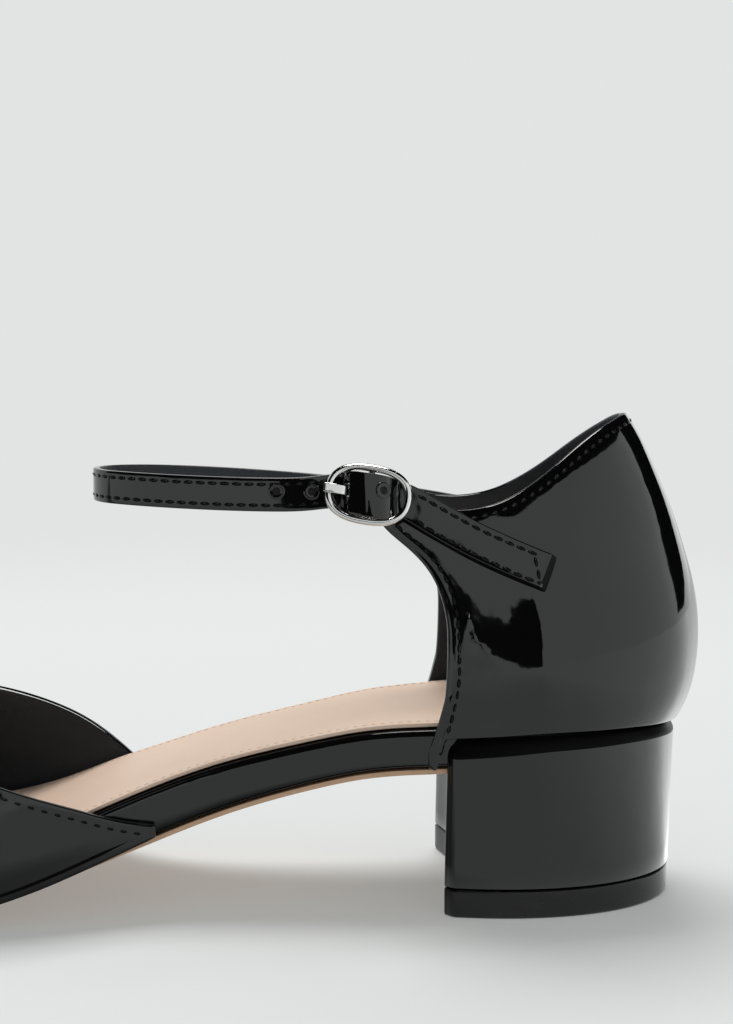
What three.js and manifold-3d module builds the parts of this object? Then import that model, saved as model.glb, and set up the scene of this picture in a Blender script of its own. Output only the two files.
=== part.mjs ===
// Heeled shoe with an ankle strap, left foot, open at both sides of the waist.
// Millimetres. +Z is up, the toe points to -X, the outer side with the buckle is -Y.
// The origin is on the floor, midway between the heel's back and the toe's tip.
import * as THREE from 'three';
import { mergeVertices } from 'three/addons/utils/BufferGeometryUtils.js';
import Module from 'manifold-3d';

const wasm = await Module();
wasm.setup();

// Driving sizes of the last and the sole
const LENGTH = 250;
const BALL_HALF_WIDTH = 37.8;
const SOLE_RISE = 29.6;
const OUTSOLE = 1.2;
const BOARD = 9.5;
const INSOLE = 1.0;
const INSOLE_INSET = 1.2;
const SIDE_ROUND = 1.0;
const OUTSOLE_UNDER_VAMP = 0.4;
const WAIST_EDGE_ENDS = 105;
const VAMP_EDGE_STARTS = 140;
const TOP_ROUND = 0.5;

// Driving sizes of the upper
const UPPER_WALL = 1.8;
const GAP = 0.3;
const COLLAR_HEIGHT = 103.8;
const FLARE = 1.2;
const FLARE_RUN = 40;
const WIDEST_ABOVE_FOOT = 7;
const THROAT_BEHIND_TIP = 62;
const FAN_BEHIND_THROAT = 12.5;
const INSTEP_HEIGHT = 45.5;
const TIP_RUN_OUT = 6;

// Driving sizes of the heel
const SEAT_SEAM = 38.6;
const BREAST = 55.6;
const BREAST_HOLLOW = 4;
const BREAST_CORNER = 3;
const TOP_PIECE = 5.9;
const HEEL_FORWARD_LEAN = 0.6;
const HEEL_BACK_LEAN = 1;

// Driving sizes of the strap and the buckle
const STRAP_WIDTH = 7;
const STRAP_WALL = 1.5;
const LOOP_REACH = 58.3;
const LOOP_HALF_WIDTH = 20.2;
const LOOP_SETTLING = 18;
const TAIL_REACH = 36.5;
const BAR_AHEAD_OF_TIP = 1;
const BAR_BELOW_TIP = 1;
const BUCKLE_TILT = THREE.MathUtils.degToRad(9);
const WIRE_RADIUS = 0.8;
const BAR_RADIUS = 0.7;
const FRAME_HALF_LENGTH = 8.2;
const FRAME_HALF_WIDTH = 5.55;
const FRAME_SQUARENESS = 2.5;
const TAB_WALL = 0.8;
const TAB_WIDTH = 5.6;
const TAB_REACH = 4.6;
const PRONG_WIDTH = 1.9;
const PRONG_WALL = 0.9;
const PRONG_HOLE_FROM_BAR = 4.2;
const PRONG_OVERHANG = 1;

// Outline of the board seen from above: a row for each station from the heel's back to the toe's tip.
// along is a share of LENGTH, outer and inner are half widths as shares of BALL_HALF_WIDTH.
const OUTLINE = [
  { along: 0.0292, outer: 0, inner: 0 },
  { along: 0.034, outer: 0.2, inner: 0.2 },
  { along: 0.049, outer: 0.36, inner: 0.36 },
  { along: 0.073, outer: 0.492, inner: 0.492 },
  { along: 0.105, outer: 0.59, inner: 0.588 },
  { along: 0.143, outer: 0.647, inner: 0.643 },
  { along: 0.18, outer: 0.658, inner: 0.648 },
  { along: 0.22, outer: 0.635, inner: 0.618 },
  { along: 0.27, outer: 0.6, inner: 0.56 },
  { along: 0.33, outer: 0.57, inner: 0.505 },
  { along: 0.4, outer: 0.572, inner: 0.475 },
  { along: 0.46, outer: 0.615, inner: 0.505 },
  { along: 0.52, outer: 0.705, inner: 0.605 },
  { along: 0.58, outer: 0.82, inner: 0.765 },
  { along: 0.64, outer: 0.925, inner: 0.895 },
  { along: 0.7, outer: 0.988, inner: 0.977 },
  { along: 0.745, outer: 1, inner: 1 },
  { along: 0.79, outer: 0.955, inner: 0.968 },
  { along: 0.835, outer: 0.86, inner: 0.91 },
  { along: 0.88, outer: 0.7, inner: 0.8 },
  { along: 0.92, outer: 0.5, inner: 0.65 },
  { along: 0.952, outer: 0.29, inner: 0.49 },
  { along: 0.977, outer: 0.09, inner: 0.325 },
  { along: 0.987, outer: -0.11, inner: 0.11 },
];

// Side view of the sole. under is the tread's height as a share of SOLE_RISE,
// board is the board's thickness as a share of BOARD.
const SIDE_VIEW = [
  { along: 0.02, under: 1.07, board: 0.84 },
  { along: 0.12, under: 1.06, board: 0.84 },
  { along: 0.224, under: 1, board: 0.86 },
  { along: 0.28, under: 0.966, board: 0.87 },
  { along: 0.344, under: 0.848, board: 0.9 },
  { along: 0.404, under: 0.703, board: 0.98 },
  { along: 0.456, under: 0.544, board: 1.04 },
  { along: 0.516, under: 0.365, board: 1 },
  { along: 0.576, under: 0.205, board: 0.77 },
  { along: 0.624, under: 0.104, board: 0.66 },
  { along: 0.672, under: 0.034, board: 0.61 },
  { along: 0.72, under: 0, board: 0.56 },
  { along: 0.792, under: 0, board: 0.5 },
  { along: 0.9, under: 0.075, board: 0.44 },
  { along: 1, under: 0.21, board: 0.42 },
];

// Level of the seam between the quarter and the heel, as a share of SEAT_SEAM.
const SEAT_LINE = [
  { along: 0.016, level: 0.975 },
  { along: 0.08, level: 1 },
  { along: 0.132, level: 1 },
  { along: 0.18, level: 0.982 },
  { along: 0.224, level: 0.966 },
  { along: 0.26, level: 0.955 },
];

// The quarter by height. level is a share of COLLAR_HEIGHT. back and front are the stations of its
// back curve and its front edge as shares of LENGTH, width is a share of its width at the seat.
const QUARTER = [
  { level: 0.29, back: 0.024, front: 0.2395, width: 1 },
  { level: 0.33, back: 0.022, front: 0.2395, width: 1 },
  { level: 0.368, back: 0.0176, front: 0.2345, width: 1 },
  { level: 0.4, back: 0.0096, front: 0.2305, width: 1.008 },
  { level: 0.44, back: 0.0044, front: 0.226, width: 1.014 },
  { level: 0.486, back: 0.0012, front: 0.2245, width: 1.012 },
  { level: 0.53, back: 0, front: 0.224, width: 1 },
  { level: 0.582, back: 0.0006, front: 0.2238, width: 0.972 },
  { level: 0.635, back: 0.0038, front: 0.2275, width: 0.932 },
  { level: 0.69, back: 0.0096, front: 0.237, width: 0.885 },
  { level: 0.74, back: 0.016, front: 0.256, width: 0.84 },
  { level: 0.778, back: 0.021, front: 0.277, width: 0.806 },
  { level: 0.815, back: 0.0265, front: 0.2845, width: 0.774 },
  { level: 0.86, back: 0.0345, front: 0.2835, width: 0.738 },
  { level: 0.93, back: 0.0475, front: 0.281, width: 0.672 },
  { level: 1, back: 0.0635, front: 0.28, width: 0.6 },
];

// Top line of the quarter on each side, as a share of COLLAR_HEIGHT.
const COLLAR_LINE = [
  { along: 0.056, outer: 1.004, inner: 1.004 },
  { along: 0.0656, outer: 1, inner: 1 },
  { along: 0.079, outer: 0.985, inner: 0.978 },
  { along: 0.1044, outer: 0.948, inner: 0.933 },
  { along: 0.1224, outer: 0.915, inner: 0.898 },
  { along: 0.1408, outer: 0.881, inner: 0.867 },
  { along: 0.161, outer: 0.85, inner: 0.84 },
  { along: 0.181, outer: 0.826, inner: 0.821 },
  { along: 0.2, outer: 0.814, inner: 0.812 },
  { along: 0.22, outer: 0.812, inner: 0.812 },
  { along: 0.248, outer: 0.825, inner: 0.825 },
  { along: 0.29, outer: 0.855, inner: 0.855 },
];

// Ridge of the last over the waist, from the wings' ends to the throat, as a share of INSTEP_HEIGHT.
const RIDGE = [
  { along: 0.46, level: 1.64 },
  { along: 0.52, level: 1.49 },
  { along: 0.58, level: 1.32 },
  { along: 0.64, level: 1.16 },
  { along: 0.7, level: 1 },
];

// Top line of the vamp's wings, on each side, as a share of INSTEP_HEIGHT.
const WING_LINE = {
  outer: [
    { along: 0.464, level: 0.427 },
    { along: 0.485, level: 0.441 },
    { along: 0.503, level: 0.47 },
    { along: 0.52, level: 0.511 },
    { along: 0.556, level: 0.58 },
    { along: 0.592, level: 0.661 },
    { along: 0.64, level: 0.765 },
    { along: 0.7, level: 0.868 },
  ],
  inner: [
    { along: 0.5, level: 0.465 },
    { along: 0.52, level: 0.56 },
    { along: 0.539, level: 0.634 },
    { along: 0.567, level: 0.71 },
    { along: 0.604, level: 0.778 },
    { along: 0.64, level: 0.835 },
    { along: 0.7, level: 0.905 },
  ],
};

// The strap's middle line. ahead is measured from the buckle's bar, forwards as a share of LOOP_REACH
// and backwards as a share of TAIL_REACH. across is a share of LOOP_HALF_WIDTH, negative on the outer
// side, and level is a share of the bar's level.
const STRAP_ROUTE = [
  { ahead: -0.6, across: 1.1, level: 0.912 },
  { ahead: -0.3, across: 1.08, level: 0.935 },
  { ahead: -0.03, across: 1.06, level: 0.953 },
  { ahead: 0.204, across: 1, level: 0.974 },
  { ahead: 0.427, across: 0.92, level: 0.988 },
  { ahead: 0.65, across: 0.79, level: 0.999 },
  { ahead: 0.84, across: 0.6, level: 1.006 },
  { ahead: 0.96, across: 0.34, level: 1.009 },
  { ahead: 1, across: 0, level: 1.01 },
  { ahead: 0.96, across: -0.34, level: 1.009 },
  { ahead: 0.84, across: -0.6, level: 1.007 },
  { ahead: 0.65, across: -0.79, level: 1.003 },
  { ahead: 0.427, across: -0.92, level: 1 },
  { ahead: 0.238, across: -0.99, level: 1.001 },
  { ahead: 0.14, across: -1, level: 1.007 },
  { ahead: 0.067, across: -1, level: 1.007 },
  { ahead: 0, across: -1, level: 1.002 },
  { ahead: -0.112, across: -1.02, level: 0.995 },
  { ahead: -0.222, across: -1.04, level: 0.982 },
  { ahead: -0.332, across: -1.06, level: 0.957 },
  { ahead: -0.565, across: -1.1, level: 0.902 },
  { ahead: -0.797, across: -1.15, level: 0.857 },
  { ahead: -1, across: -1.2, level: 0.822 },
];

const MATERIALS = {
  patent: { color: 0x141414, roughness: 0.12, metalness: 0 },
  insole: { color: 0xdcc3b1, roughness: 0.7, metalness: 0 },
  outsole: { color: 0xc9a284, roughness: 0.6, metalness: 0 },
  rubber: { color: 0x101010, roughness: 0.45, metalness: 0 },
  chrome: { color: 0xd8d8da, roughness: 0.15, metalness: 1 },
};

// Interpolation

function smoothTable(rows, key, value) {
  const slopes = [];
  for (let i = 0; i < rows.length - 1; i += 1) {
    slopes.push((rows[i + 1][value] - rows[i][value]) / (rows[i + 1][key] - rows[i][key]));
  }
  const tangents = rows.map((row, i) => {
    if (i === 0) return slopes[0];
    if (i === rows.length - 1) return slopes[i - 1];
    if (slopes[i - 1] * slopes[i] <= 0) return 0;
    return (2 * slopes[i - 1] * slopes[i]) / (slopes[i - 1] + slopes[i]);
  });
  return (at) => {
    const x = THREE.MathUtils.clamp(at, rows[0][key], rows[rows.length - 1][key]);
    let i = 0;
    while (i < rows.length - 2 && x > rows[i + 1][key]) i += 1;
    const span = rows[i + 1][key] - rows[i][key];
    const t = (x - rows[i][key]) / span;
    const rise = rows[i + 1][value] - rows[i][value];
    const bend = t * (1 - t) * ((1 - t) * (tangents[i] * span - rise) - t * (tangents[i + 1] * span - rise));
    return rows[i][value] + t * rise + bend;
  };
}

function solveRising(rises, low, high) {
  let from = low;
  let to = high;
  for (let step = 0; step < 40; step += 1) {
    const middle = (from + to) / 2;
    if (rises(middle) > 0) to = middle;
    else from = middle;
  }
  return (from + to) / 2;
}

function place(station, across, level) {
  return new THREE.Vector3(LENGTH / 2 - station, across, level);
}

// Solids

function solidGeometry(points, faces) {
  const positions = new Float32Array(points.length * 3);
  points.forEach((point, i) => point.toArray(positions, i * 3));
  const loose = new THREE.BufferGeometry();
  loose.setAttribute('position', new THREE.BufferAttribute(positions, 3));
  loose.setIndex(faces.flat());
  const merged = mergeVertices(loose, 1e-4);
  const index = merged.index.array;
  const kept = [];
  const corner = [new THREE.Vector3(), new THREE.Vector3(), new THREE.Vector3()];
  let volume = 0;
  for (let i = 0; i < index.length; i += 3) {
    const [a, b, c] = [index[i], index[i + 1], index[i + 2]];
    if (a === b || b === c || c === a) continue;
    kept.push(a, b, c);
    corner.forEach((point, k) => point.fromBufferAttribute(merged.attributes.position, index[i + k]));
    volume += corner[0].dot(corner[1].clone().cross(corner[2]));
  }
  if (volume < 0) kept.reverse();
  merged.setIndex(kept);
  merged.computeVertexNormals();
  return merged;
}

// A closed body between two grids of points with the same rows and columns.
function bodyBetween(front, behind) {
  const columns = front.length;
  const rows = front[0].length;
  const points = [...front.flat(), ...behind.flat()];
  const at = (side, i, j) => side * columns * rows + i * rows + j;
  const faces = [];
  const quad = (a, b, c, d) => faces.push([a, b, c], [a, c, d]);
  for (let i = 0; i < columns - 1; i += 1) {
    for (let j = 0; j < rows - 1; j += 1) {
      quad(at(0, i, j), at(0, i + 1, j), at(0, i + 1, j + 1), at(0, i, j + 1));
      quad(at(1, i, j), at(1, i, j + 1), at(1, i + 1, j + 1), at(1, i + 1, j));
    }
    quad(at(0, i, 0), at(1, i, 0), at(1, i + 1, 0), at(0, i + 1, 0));
    quad(at(0, i + 1, rows - 1), at(1, i + 1, rows - 1), at(1, i, rows - 1), at(0, i, rows - 1));
  }
  for (let j = 0; j < rows - 1; j += 1) {
    quad(at(0, 0, j + 1), at(1, 0, j + 1), at(1, 0, j), at(0, 0, j));
    quad(at(0, columns - 1, j), at(1, columns - 1, j), at(1, columns - 1, j + 1), at(0, columns - 1, j + 1));
  }
  return solidGeometry(points, faces);
}

// A wall of even thickness behind a surface that is given by a function of two shares.
function wallBehind(surface, us, vs, wall, awayFrom) {
  const step = 1e-3;
  const front = us.map((u) => vs.map((v) => surface(u, v)));
  const behind = us.map((u, i) => vs.map((v, j) => {
    const alongU = surface(u + step, v).sub(surface(u - step, v));
    const alongV = surface(u, v + step).sub(surface(u, v - step));
    const normal = alongU.cross(alongV).normalize();
    if (normal.dot(front[i][j].clone().sub(awayFrom(front[i][j]))) < 0) normal.negate();
    return front[i][j].clone().addScaledVector(normal, -wall);
  }));
  return bodyBetween(front, behind);
}

// A body through closed rings of points. Ends are fanned from their middle, unless the rings close up.
function bodyThroughRings(rings, { closed = false, capped = true } = {}) {
  const count = rings[0].length;
  const points = rings.flat();
  const faces = [];
  const last = closed ? rings.length : rings.length - 1;
  for (let i = 0; i < last; i += 1) {
    const next = (i + 1) % rings.length;
    for (let j = 0; j < count; j += 1) {
      const across = (j + 1) % count;
      faces.push([i * count + j, next * count + j, next * count + across]);
      faces.push([i * count + j, next * count + across, i * count + across]);
    }
  }
  if (!closed && capped) {
    [0, rings.length - 1].forEach((i) => {
      const middle = points.length;
      points.push(rings[i].reduce((sum, point) => sum.add(point), new THREE.Vector3()).divideScalar(count));
      for (let j = 0; j < count; j += 1) {
        const pair = [i * count + j, i * count + ((j + 1) % count)];
        faces.push(i === 0 ? [middle, pair[0], pair[1]] : [middle, pair[1], pair[0]]);
      }
    });
  }
  return solidGeometry(points, faces);
}

function toSolid(geometry) {
  const mesh = new wasm.Mesh({
    numProp: 3,
    vertProperties: new Float32Array(geometry.attributes.position.array),
    triVerts: new Uint32Array(geometry.index.array),
  });
  return new wasm.Manifold(mesh);
}

function toGeometry(solid) {
  const mesh = solid.getMesh();
  const geometry = new THREE.BufferGeometry();
  geometry.setAttribute('position', new THREE.BufferAttribute(new Float32Array(mesh.vertProperties), 3));
  geometry.setIndex([...mesh.triVerts]);
  geometry.computeVertexNormals();
  return geometry;
}

function shares(count, from = 0, to = 1) {
  return Array.from({ length: count + 1 }, (unused, i) => from + ((to - from) * i) / count);
}

// The last's outline and levels

const underShare = smoothTable(SIDE_VIEW, 'along', 'under');
const boardShare = smoothTable(SIDE_VIEW, 'along', 'board');
const seatShare = smoothTable(SEAT_LINE, 'along', 'level');
const LAST_ROW = OUTLINE.length - 1;

const treadLevel = (station) => SOLE_RISE * underShare(station / LENGTH);
const boardFoot = (station) => treadLevel(station) + OUTSOLE + GAP;
const boardTop = (station) => boardFoot(station) + BOARD * boardShare(station / LENGTH);
const seatSeam = (station) => SEAT_SEAM * seatShare(station / LENGTH);

// A point of the outline beyond an end row lies on the other side of the foot.
function outlineRow(index, side) {
  const turned = index < 0 || index > LAST_ROW;
  const row = OUTLINE[index < 0 ? -index : index > LAST_ROW ? 2 * LAST_ROW - index : index];
  const facing = turned ? -side : side;
  const half = (facing < 0 ? row.outer : row.inner) * BALL_HALF_WIDTH;
  return new THREE.Vector2(row.along * LENGTH, facing * half);
}

function outlinePoint(row, side) {
  const i = THREE.MathUtils.clamp(Math.floor(row), 0, LAST_ROW - 1);
  const t = row - i;
  const [p0, p1, p2, p3] = [-1, 0, 1, 2].map((k) => outlineRow(i + k, side));
  const blend = (a, b, c, d) => 0.5 * (2 * b + (c - a) * t + (2 * a - 5 * b + 4 * c - d) * t * t
    + (3 * b - a - 3 * c + d) * t * t * t);
  return new THREE.Vector2(blend(p0.x, p1.x, p2.x, p3.x), blend(p0.y, p1.y, p2.y, p3.y));
}

// The outline moved outwards by an offset, at a row and a side.
function outlineEdge(row, side, offset) {
  const step = 1e-3;
  const tangent = outlinePoint(row + step, side).sub(outlinePoint(row - step, side)).normalize();
  const point = outlinePoint(row, side);
  return new THREE.Vector2(point.x - side * tangent.y * offset, point.y + side * tangent.x * offset);
}

function rowAt(station, side, offset = 0) {
  return solveRising((row) => outlineEdge(row, side, offset).x - station, 0, LAST_ROW);
}

// Flat pieces of the sole

// A layer of the sole. corners lists, from foot to top, the offset and the level of its side.
function soleLayer(corners, rowsPerStation) {
  const rings = shares(LAST_ROW * rowsPerStation, 0, LAST_ROW).map((row) => {
    const side = (facing) => corners.map(({ offset, level }) => {
      const station = outlinePoint(row, facing).x;
      const edge = outlineEdge(row, facing, offset(station));
      return place(edge.x, edge.y, level(edge.x));
    });
    return [...side(-1), ...side(1).reverse()];
  });
  return bodyThroughRings(rings, { capped: false });
}

// The outsole's edge lies inside the board's at the waist and a little outside it under the vamp.
const outsoleOffset = (station) => {
  const underVamp = THREE.MathUtils.smoothstep(station, WAIST_EDGE_ENDS, VAMP_EDGE_STARTS);
  return (OUTSOLE_UNDER_VAMP + SIDE_ROUND) * underVamp - SIDE_ROUND;
};

function makeOutsole() {
  return soleLayer([
    { offset: outsoleOffset, level: treadLevel },
    { offset: outsoleOffset, level: (station) => treadLevel(station) + OUTSOLE },
  ], 2);
}

function makeBoard() {
  return soleLayer([
    { offset: () => -SIDE_ROUND, level: boardFoot },
    { offset: () => 0, level: (station) => boardFoot(station) + SIDE_ROUND },
    { offset: () => 0, level: (station) => boardTop(station) - TOP_ROUND },
    { offset: () => -TOP_ROUND, level: boardTop },
  ], 2);
}

function makeInsole() {
  return soleLayer([
    { offset: () => -INSOLE_INSET, level: (station) => boardTop(station) + GAP },
    { offset: () => -INSOLE_INSET, level: (station) => boardTop(station) + GAP + INSOLE },
  ], 2);
}

// Quarter

const WALL_OFFSET = GAP + UPPER_WALL;
const quarterBack = smoothTable(QUARTER, 'level', 'back');
const quarterFront = smoothTable(QUARTER, 'level', 'front');
const quarterWidth = smoothTable(QUARTER, 'level', 'width');
const collarShare = {
  '-1': smoothTable(COLLAR_LINE, 'along', 'outer'),
  1: smoothTable(COLLAR_LINE, 'along', 'inner'),
};
const FRONT_STATION = LENGTH * quarterFront(SEAT_SEAM / COLLAR_HEIGHT);
const SEAT_CENTRE = FRONT_STATION * 0.68;
const STEP_STATION = BREAST + HEEL_FORWARD_LEAN + GAP;

const frontRow = { '-1': rowAt(FRONT_STATION, -1, WALL_OFFSET), 1: rowAt(FRONT_STATION, 1, WALL_OFFSET) };

// Share of the way from the back curve to the front edge, and the half width there, from the seat's outline.
function seatShape(turn) {
  const side = turn < 0 ? -1 : 1;
  const edge = outlineEdge(Math.abs(turn) * frontRow[side], side, WALL_OFFSET);
  const back = outlineEdge(0, side, WALL_OFFSET).x;
  return { forward: (edge.x - back) / (FRONT_STATION - back), across: edge.y };
}

function quarterPoint(turn, level) {
  const shape = seatShape(turn);
  const share = level / COLLAR_HEIGHT;
  const back = quarterBack(share) * LENGTH;
  const front = quarterFront(share) * LENGTH;
  return place(back + (front - back) * shape.forward, shape.across * quarterWidth(share), level);
}

const stationOf = (point) => LENGTH / 2 - point.x;

function quarterTop(turn) {
  const side = turn < 0 ? -1 : 1;
  const collar = (station) => COLLAR_HEIGHT * collarShare[side](station / LENGTH);
  const over = (level) => level - collar(stationOf(quarterPoint(turn, level)));
  return solveRising(over, SEAT_SEAM, COLLAR_HEIGHT + STRAP_WIDTH);
}

function quarterFoot(turn) {
  const station = stationOf(quarterPoint(turn, SEAT_SEAM));
  return station > STEP_STATION ? boardFoot(station) : seatSeam(station) + GAP;
}

// The turns run from the outer front edge (-1) round the back (0) to the inner front edge (1).
function quarterTurns() {
  const stepAt = (side) => {
    const forward = (turn) => stationOf(quarterPoint(side * turn, SEAT_SEAM)) - STEP_STATION;
    return solveRising(forward, 0.5, 1);
  };
  const half = (side) => {
    const step = stepAt(side);
    return [...shares(15, 0, step - 0.003), step + 0.003, 1].map((turn) => turn * side);
  };
  return [...half(-1).reverse(), ...half(1).slice(1)];
}

function quarterSurface(turn, share) {
  const foot = quarterFoot(turn);
  return quarterPoint(turn, foot + (quarterTop(turn) - foot) * share);
}

function makeQuarter() {
  const middle = (point) => place(SEAT_CENTRE, 0, point.z);
  const turns = quarterTurns();
  const rows = shares(15);
  const front = turns.map((turn) => rows.map((share) => quarterSurface(turn, share)));
  const behind = turns.map((turn, i) => rows.map((share, j) => {
    const normal = quarterNormal(turn, front[i][j].z);
    if (normal.dot(front[i][j].clone().sub(middle(front[i][j]))) < 0) normal.negate();
    return front[i][j].clone().addScaledVector(normal, -UPPER_WALL);
  }));
  return bodyBetween(front, behind);
}

function quarterNormal(turn, level) {
  const step = 1e-3;
  const around = quarterPoint(turn + step, level).sub(quarterPoint(turn - step, level));
  const up = quarterPoint(turn, level + 0.2).sub(quarterPoint(turn, level - 0.2));
  return around.cross(up).normalize();
}

// Vamp

const ridgeShare = smoothTable(RIDGE, 'along', 'level');
const wingShare = {
  '-1': smoothTable(WING_LINE.outer, 'along', 'level'),
  1: smoothTable(WING_LINE.inner, 'along', 'level'),
};
const WING_END = { '-1': WING_LINE.outer[0].along * LENGTH, 1: WING_LINE.inner[0].along * LENGTH };
const THROAT = LENGTH - THROAT_BEHIND_TIP;
const FAN_STATION = THROAT - FAN_BEHIND_THROAT;
const FOOT_ANGLE = -0.25;
const SIDE_FULLNESS = 2.3;
const TIP_FULLNESS = 1.65;

// One meridian of the vamp, from its foot on the outline over the last towards the ridge.
function vampMeridian(turn) {
  const side = turn < 0 ? -1 : 1;
  const wingRow = rowAt(WING_END[side], side, WALL_OFFSET);
  const row = LAST_ROW + (wingRow - LAST_ROW) * Math.abs(turn);
  const station = outlineEdge(row, side, WALL_OFFSET).x;
  const flare = FLARE * THREE.MathUtils.smoothstep(station, WING_END[side], WING_END[side] + FLARE_RUN);
  const foot = boardFoot(station);
  const widest = foot + WIDEST_ABOVE_FOOT;
  const root = new THREE.Vector2(Math.min(station, FAN_STATION), 0);
  const ridge = INSTEP_HEIGHT * ridgeShare(root.x / LENGTH);
  const rim = outlineEdge(row, side, WALL_OFFSET + flare);
  const toTip = THREE.MathUtils.smoothstep(rim.x, FAN_STATION, LENGTH - TIP_RUN_OUT);
  const power = 2 / (SIDE_FULLNESS + (TIP_FULLNESS - SIDE_FULLNESS) * toTip);
  const point = (angle) => {
    if (angle < 0) {
      const rise = 1 - angle / FOOT_ANGLE;
      const edge = outlineEdge(row, side, WALL_OFFSET + flare * Math.sin((rise * Math.PI) / 2));
      return place(edge.x, edge.y, foot + WIDEST_ABOVE_FOOT * rise);
    }
    const reach = Math.cos(angle) ** power;
    const plan = root.clone().lerp(rim, reach);
    return place(plan.x, plan.y, widest + (ridge - widest) * Math.sin(angle) ** power);
  };
  return { side, station, root, rim, power, point };
}

function wingAngle(meridian) {
  const level = INSTEP_HEIGHT * wingShare[meridian.side](meridian.station / LENGTH);
  return solveRising((angle) => meridian.point(angle).z - level, FOOT_ANGLE, 1.5);
}

// Half width of the throat's opening at the station where the meridians start to fan round the toe.
function throatHalfWidth(side) {
  const row = rowAt(FAN_STATION, side, WALL_OFFSET);
  const wingRow = rowAt(WING_END[side], side, WALL_OFFSET);
  const meridian = vampMeridian((side * (row - LAST_ROW)) / (wingRow - LAST_ROW));
  return Math.abs(meridian.point(wingAngle(meridian)).y);
}

const THROAT_HALF_WIDTH = { '-1': throatHalfWidth(-1), 1: throatHalfWidth(1) };

function toplineAngle(meridian) {
  if (meridian.station <= FAN_STATION) return wingAngle(meridian);
  const ray = meridian.rim.clone().sub(meridian.root);
  const heading = Math.atan2(Math.abs(ray.y), ray.x);
  const reach = 1 / Math.hypot(
    Math.cos(heading) / FAN_BEHIND_THROAT,
    Math.sin(heading) / THROAT_HALF_WIDTH[meridian.side],
  );
  return Math.acos(Math.min(1, reach / ray.length()) ** (1 / meridian.power));
}

function vampSurface(turn, share) {
  const meridian = vampMeridian(turn);
  const top = toplineAngle(meridian);
  return meridian.point(FOOT_ANGLE + (top - FOOT_ANGLE) * share);
}

function makeVamp() {
  const middle = (point) => place(Math.min(stationOf(point), FAN_STATION), 0, 5);
  return wallBehind(vampSurface, shares(46, -1, 1), shares(11), UPPER_WALL, middle);
}

// Heel

// D-shaped ring of the heel at a level: lean is 0 at the floor and 1 at the seat.
function heelRing(lean, levelOf) {
  const breast = BREAST + HEEL_FORWARD_LEAN * (1 - lean);
  const backShift = HEEL_BACK_LEAN * (1 - lean);
  const cornerStart = breast - BREAST_CORNER;
  const side = (facing) => {
    const top = rowAt(cornerStart, facing, WALL_OFFSET);
    const wall = shares(11, 0, top).map((row) => {
      const edge = outlineEdge(row, facing, WALL_OFFSET);
      return new THREE.Vector2(edge.x + backShift * (1 - edge.x / cornerStart), edge.y);
    });
    const start = wall[wall.length - 1];
    const corner = [30, 60, 90].map((degrees) => {
      const turn = THREE.MathUtils.degToRad(degrees);
      const across = start.y - facing * BREAST_CORNER * (1 - Math.cos(turn));
      return new THREE.Vector2(cornerStart + BREAST_CORNER * Math.sin(turn), across);
    });
    return [...wall, ...corner];
  };
  const outer = side(-1);
  const inner = side(1);
  const from = outer[outer.length - 1];
  const to = inner[inner.length - 1];
  const breastLine = shares(6).slice(1, -1).map((share) => {
    const hollow = BREAST_HOLLOW * (1 - (2 * share - 1) ** 2);
    return new THREE.Vector2(breast - hollow, from.y + (to.y - from.y) * share);
  });
  const outline = [...outer, ...breastLine, ...inner.reverse().slice(0, -1)];
  return outline.map((point) => place(point.x, point.y, levelOf(point.x)));
}

function makeHeelBlock() {
  const levels = [0, 0.5, 1];
  const bottom = TOP_PIECE + GAP;
  const block = bodyThroughRings(levels.map((share) => {
    return heelRing(share, (station) => bottom + (seatSeam(station) - bottom) * share);
  }));
  const lastRow = rowAt(BREAST + 12, 1);
  const seat = bodyThroughRings(shares(24, 0, lastRow).map((row) => {
    const ring = (facing, level) => {
      const edge = outlineEdge(row, facing, GAP);
      return place(edge.x, edge.y, level(edge.x));
    };
    const floor = (station) => treadLevel(station) - GAP;
    const sky = () => COLLAR_HEIGHT;
    return [ring(-1, floor), ring(-1, sky), ring(1, sky), ring(1, floor)];
  }));
  return toGeometry(toSolid(block).subtract(toSolid(seat)));
}

function makeHeelTopPiece() {
  return bodyThroughRings([heelRing(0, () => 0), heelRing(0, () => TOP_PIECE)]);
}

// Strap and buckle

// The tip of the quarter that carries the buckle, and the bar's place in front of it.
const TIP_STATION = LENGTH * Math.max(...QUARTER.map((row) => row.front));
const BAR_STATION = TIP_STATION + BAR_AHEAD_OF_TIP;
const BAR_LEVEL = COLLAR_HEIGHT * collarShare[-1](BAR_STATION / LENGTH) - BAR_BELOW_TIP;

const strapCurve = new THREE.CatmullRomCurve3(STRAP_ROUTE.map((row) => new THREE.Vector3(
  BAR_STATION + row.ahead * (row.ahead > 0 ? LOOP_REACH : TAIL_REACH),
  row.across * LOOP_HALF_WIDTH,
  row.level * BAR_LEVEL,
)), false, 'centripetal');

// Half width of the quarter at a station and a level, also in front of its edge.
function quarterHalfWidth(station, level, side) {
  const share = level / COLLAR_HEIGHT;
  const back = quarterBack(share) * LENGTH;
  const front = quarterFront(share) * LENGTH;
  const forward = THREE.MathUtils.clamp((station - back) / (front - back), 0, 1);
  const turn = solveRising((t) => seatShape(side * t).forward - forward, 0, 1);
  return Math.abs(seatShape(side * turn).across) * quarterWidth(share);
}

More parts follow.
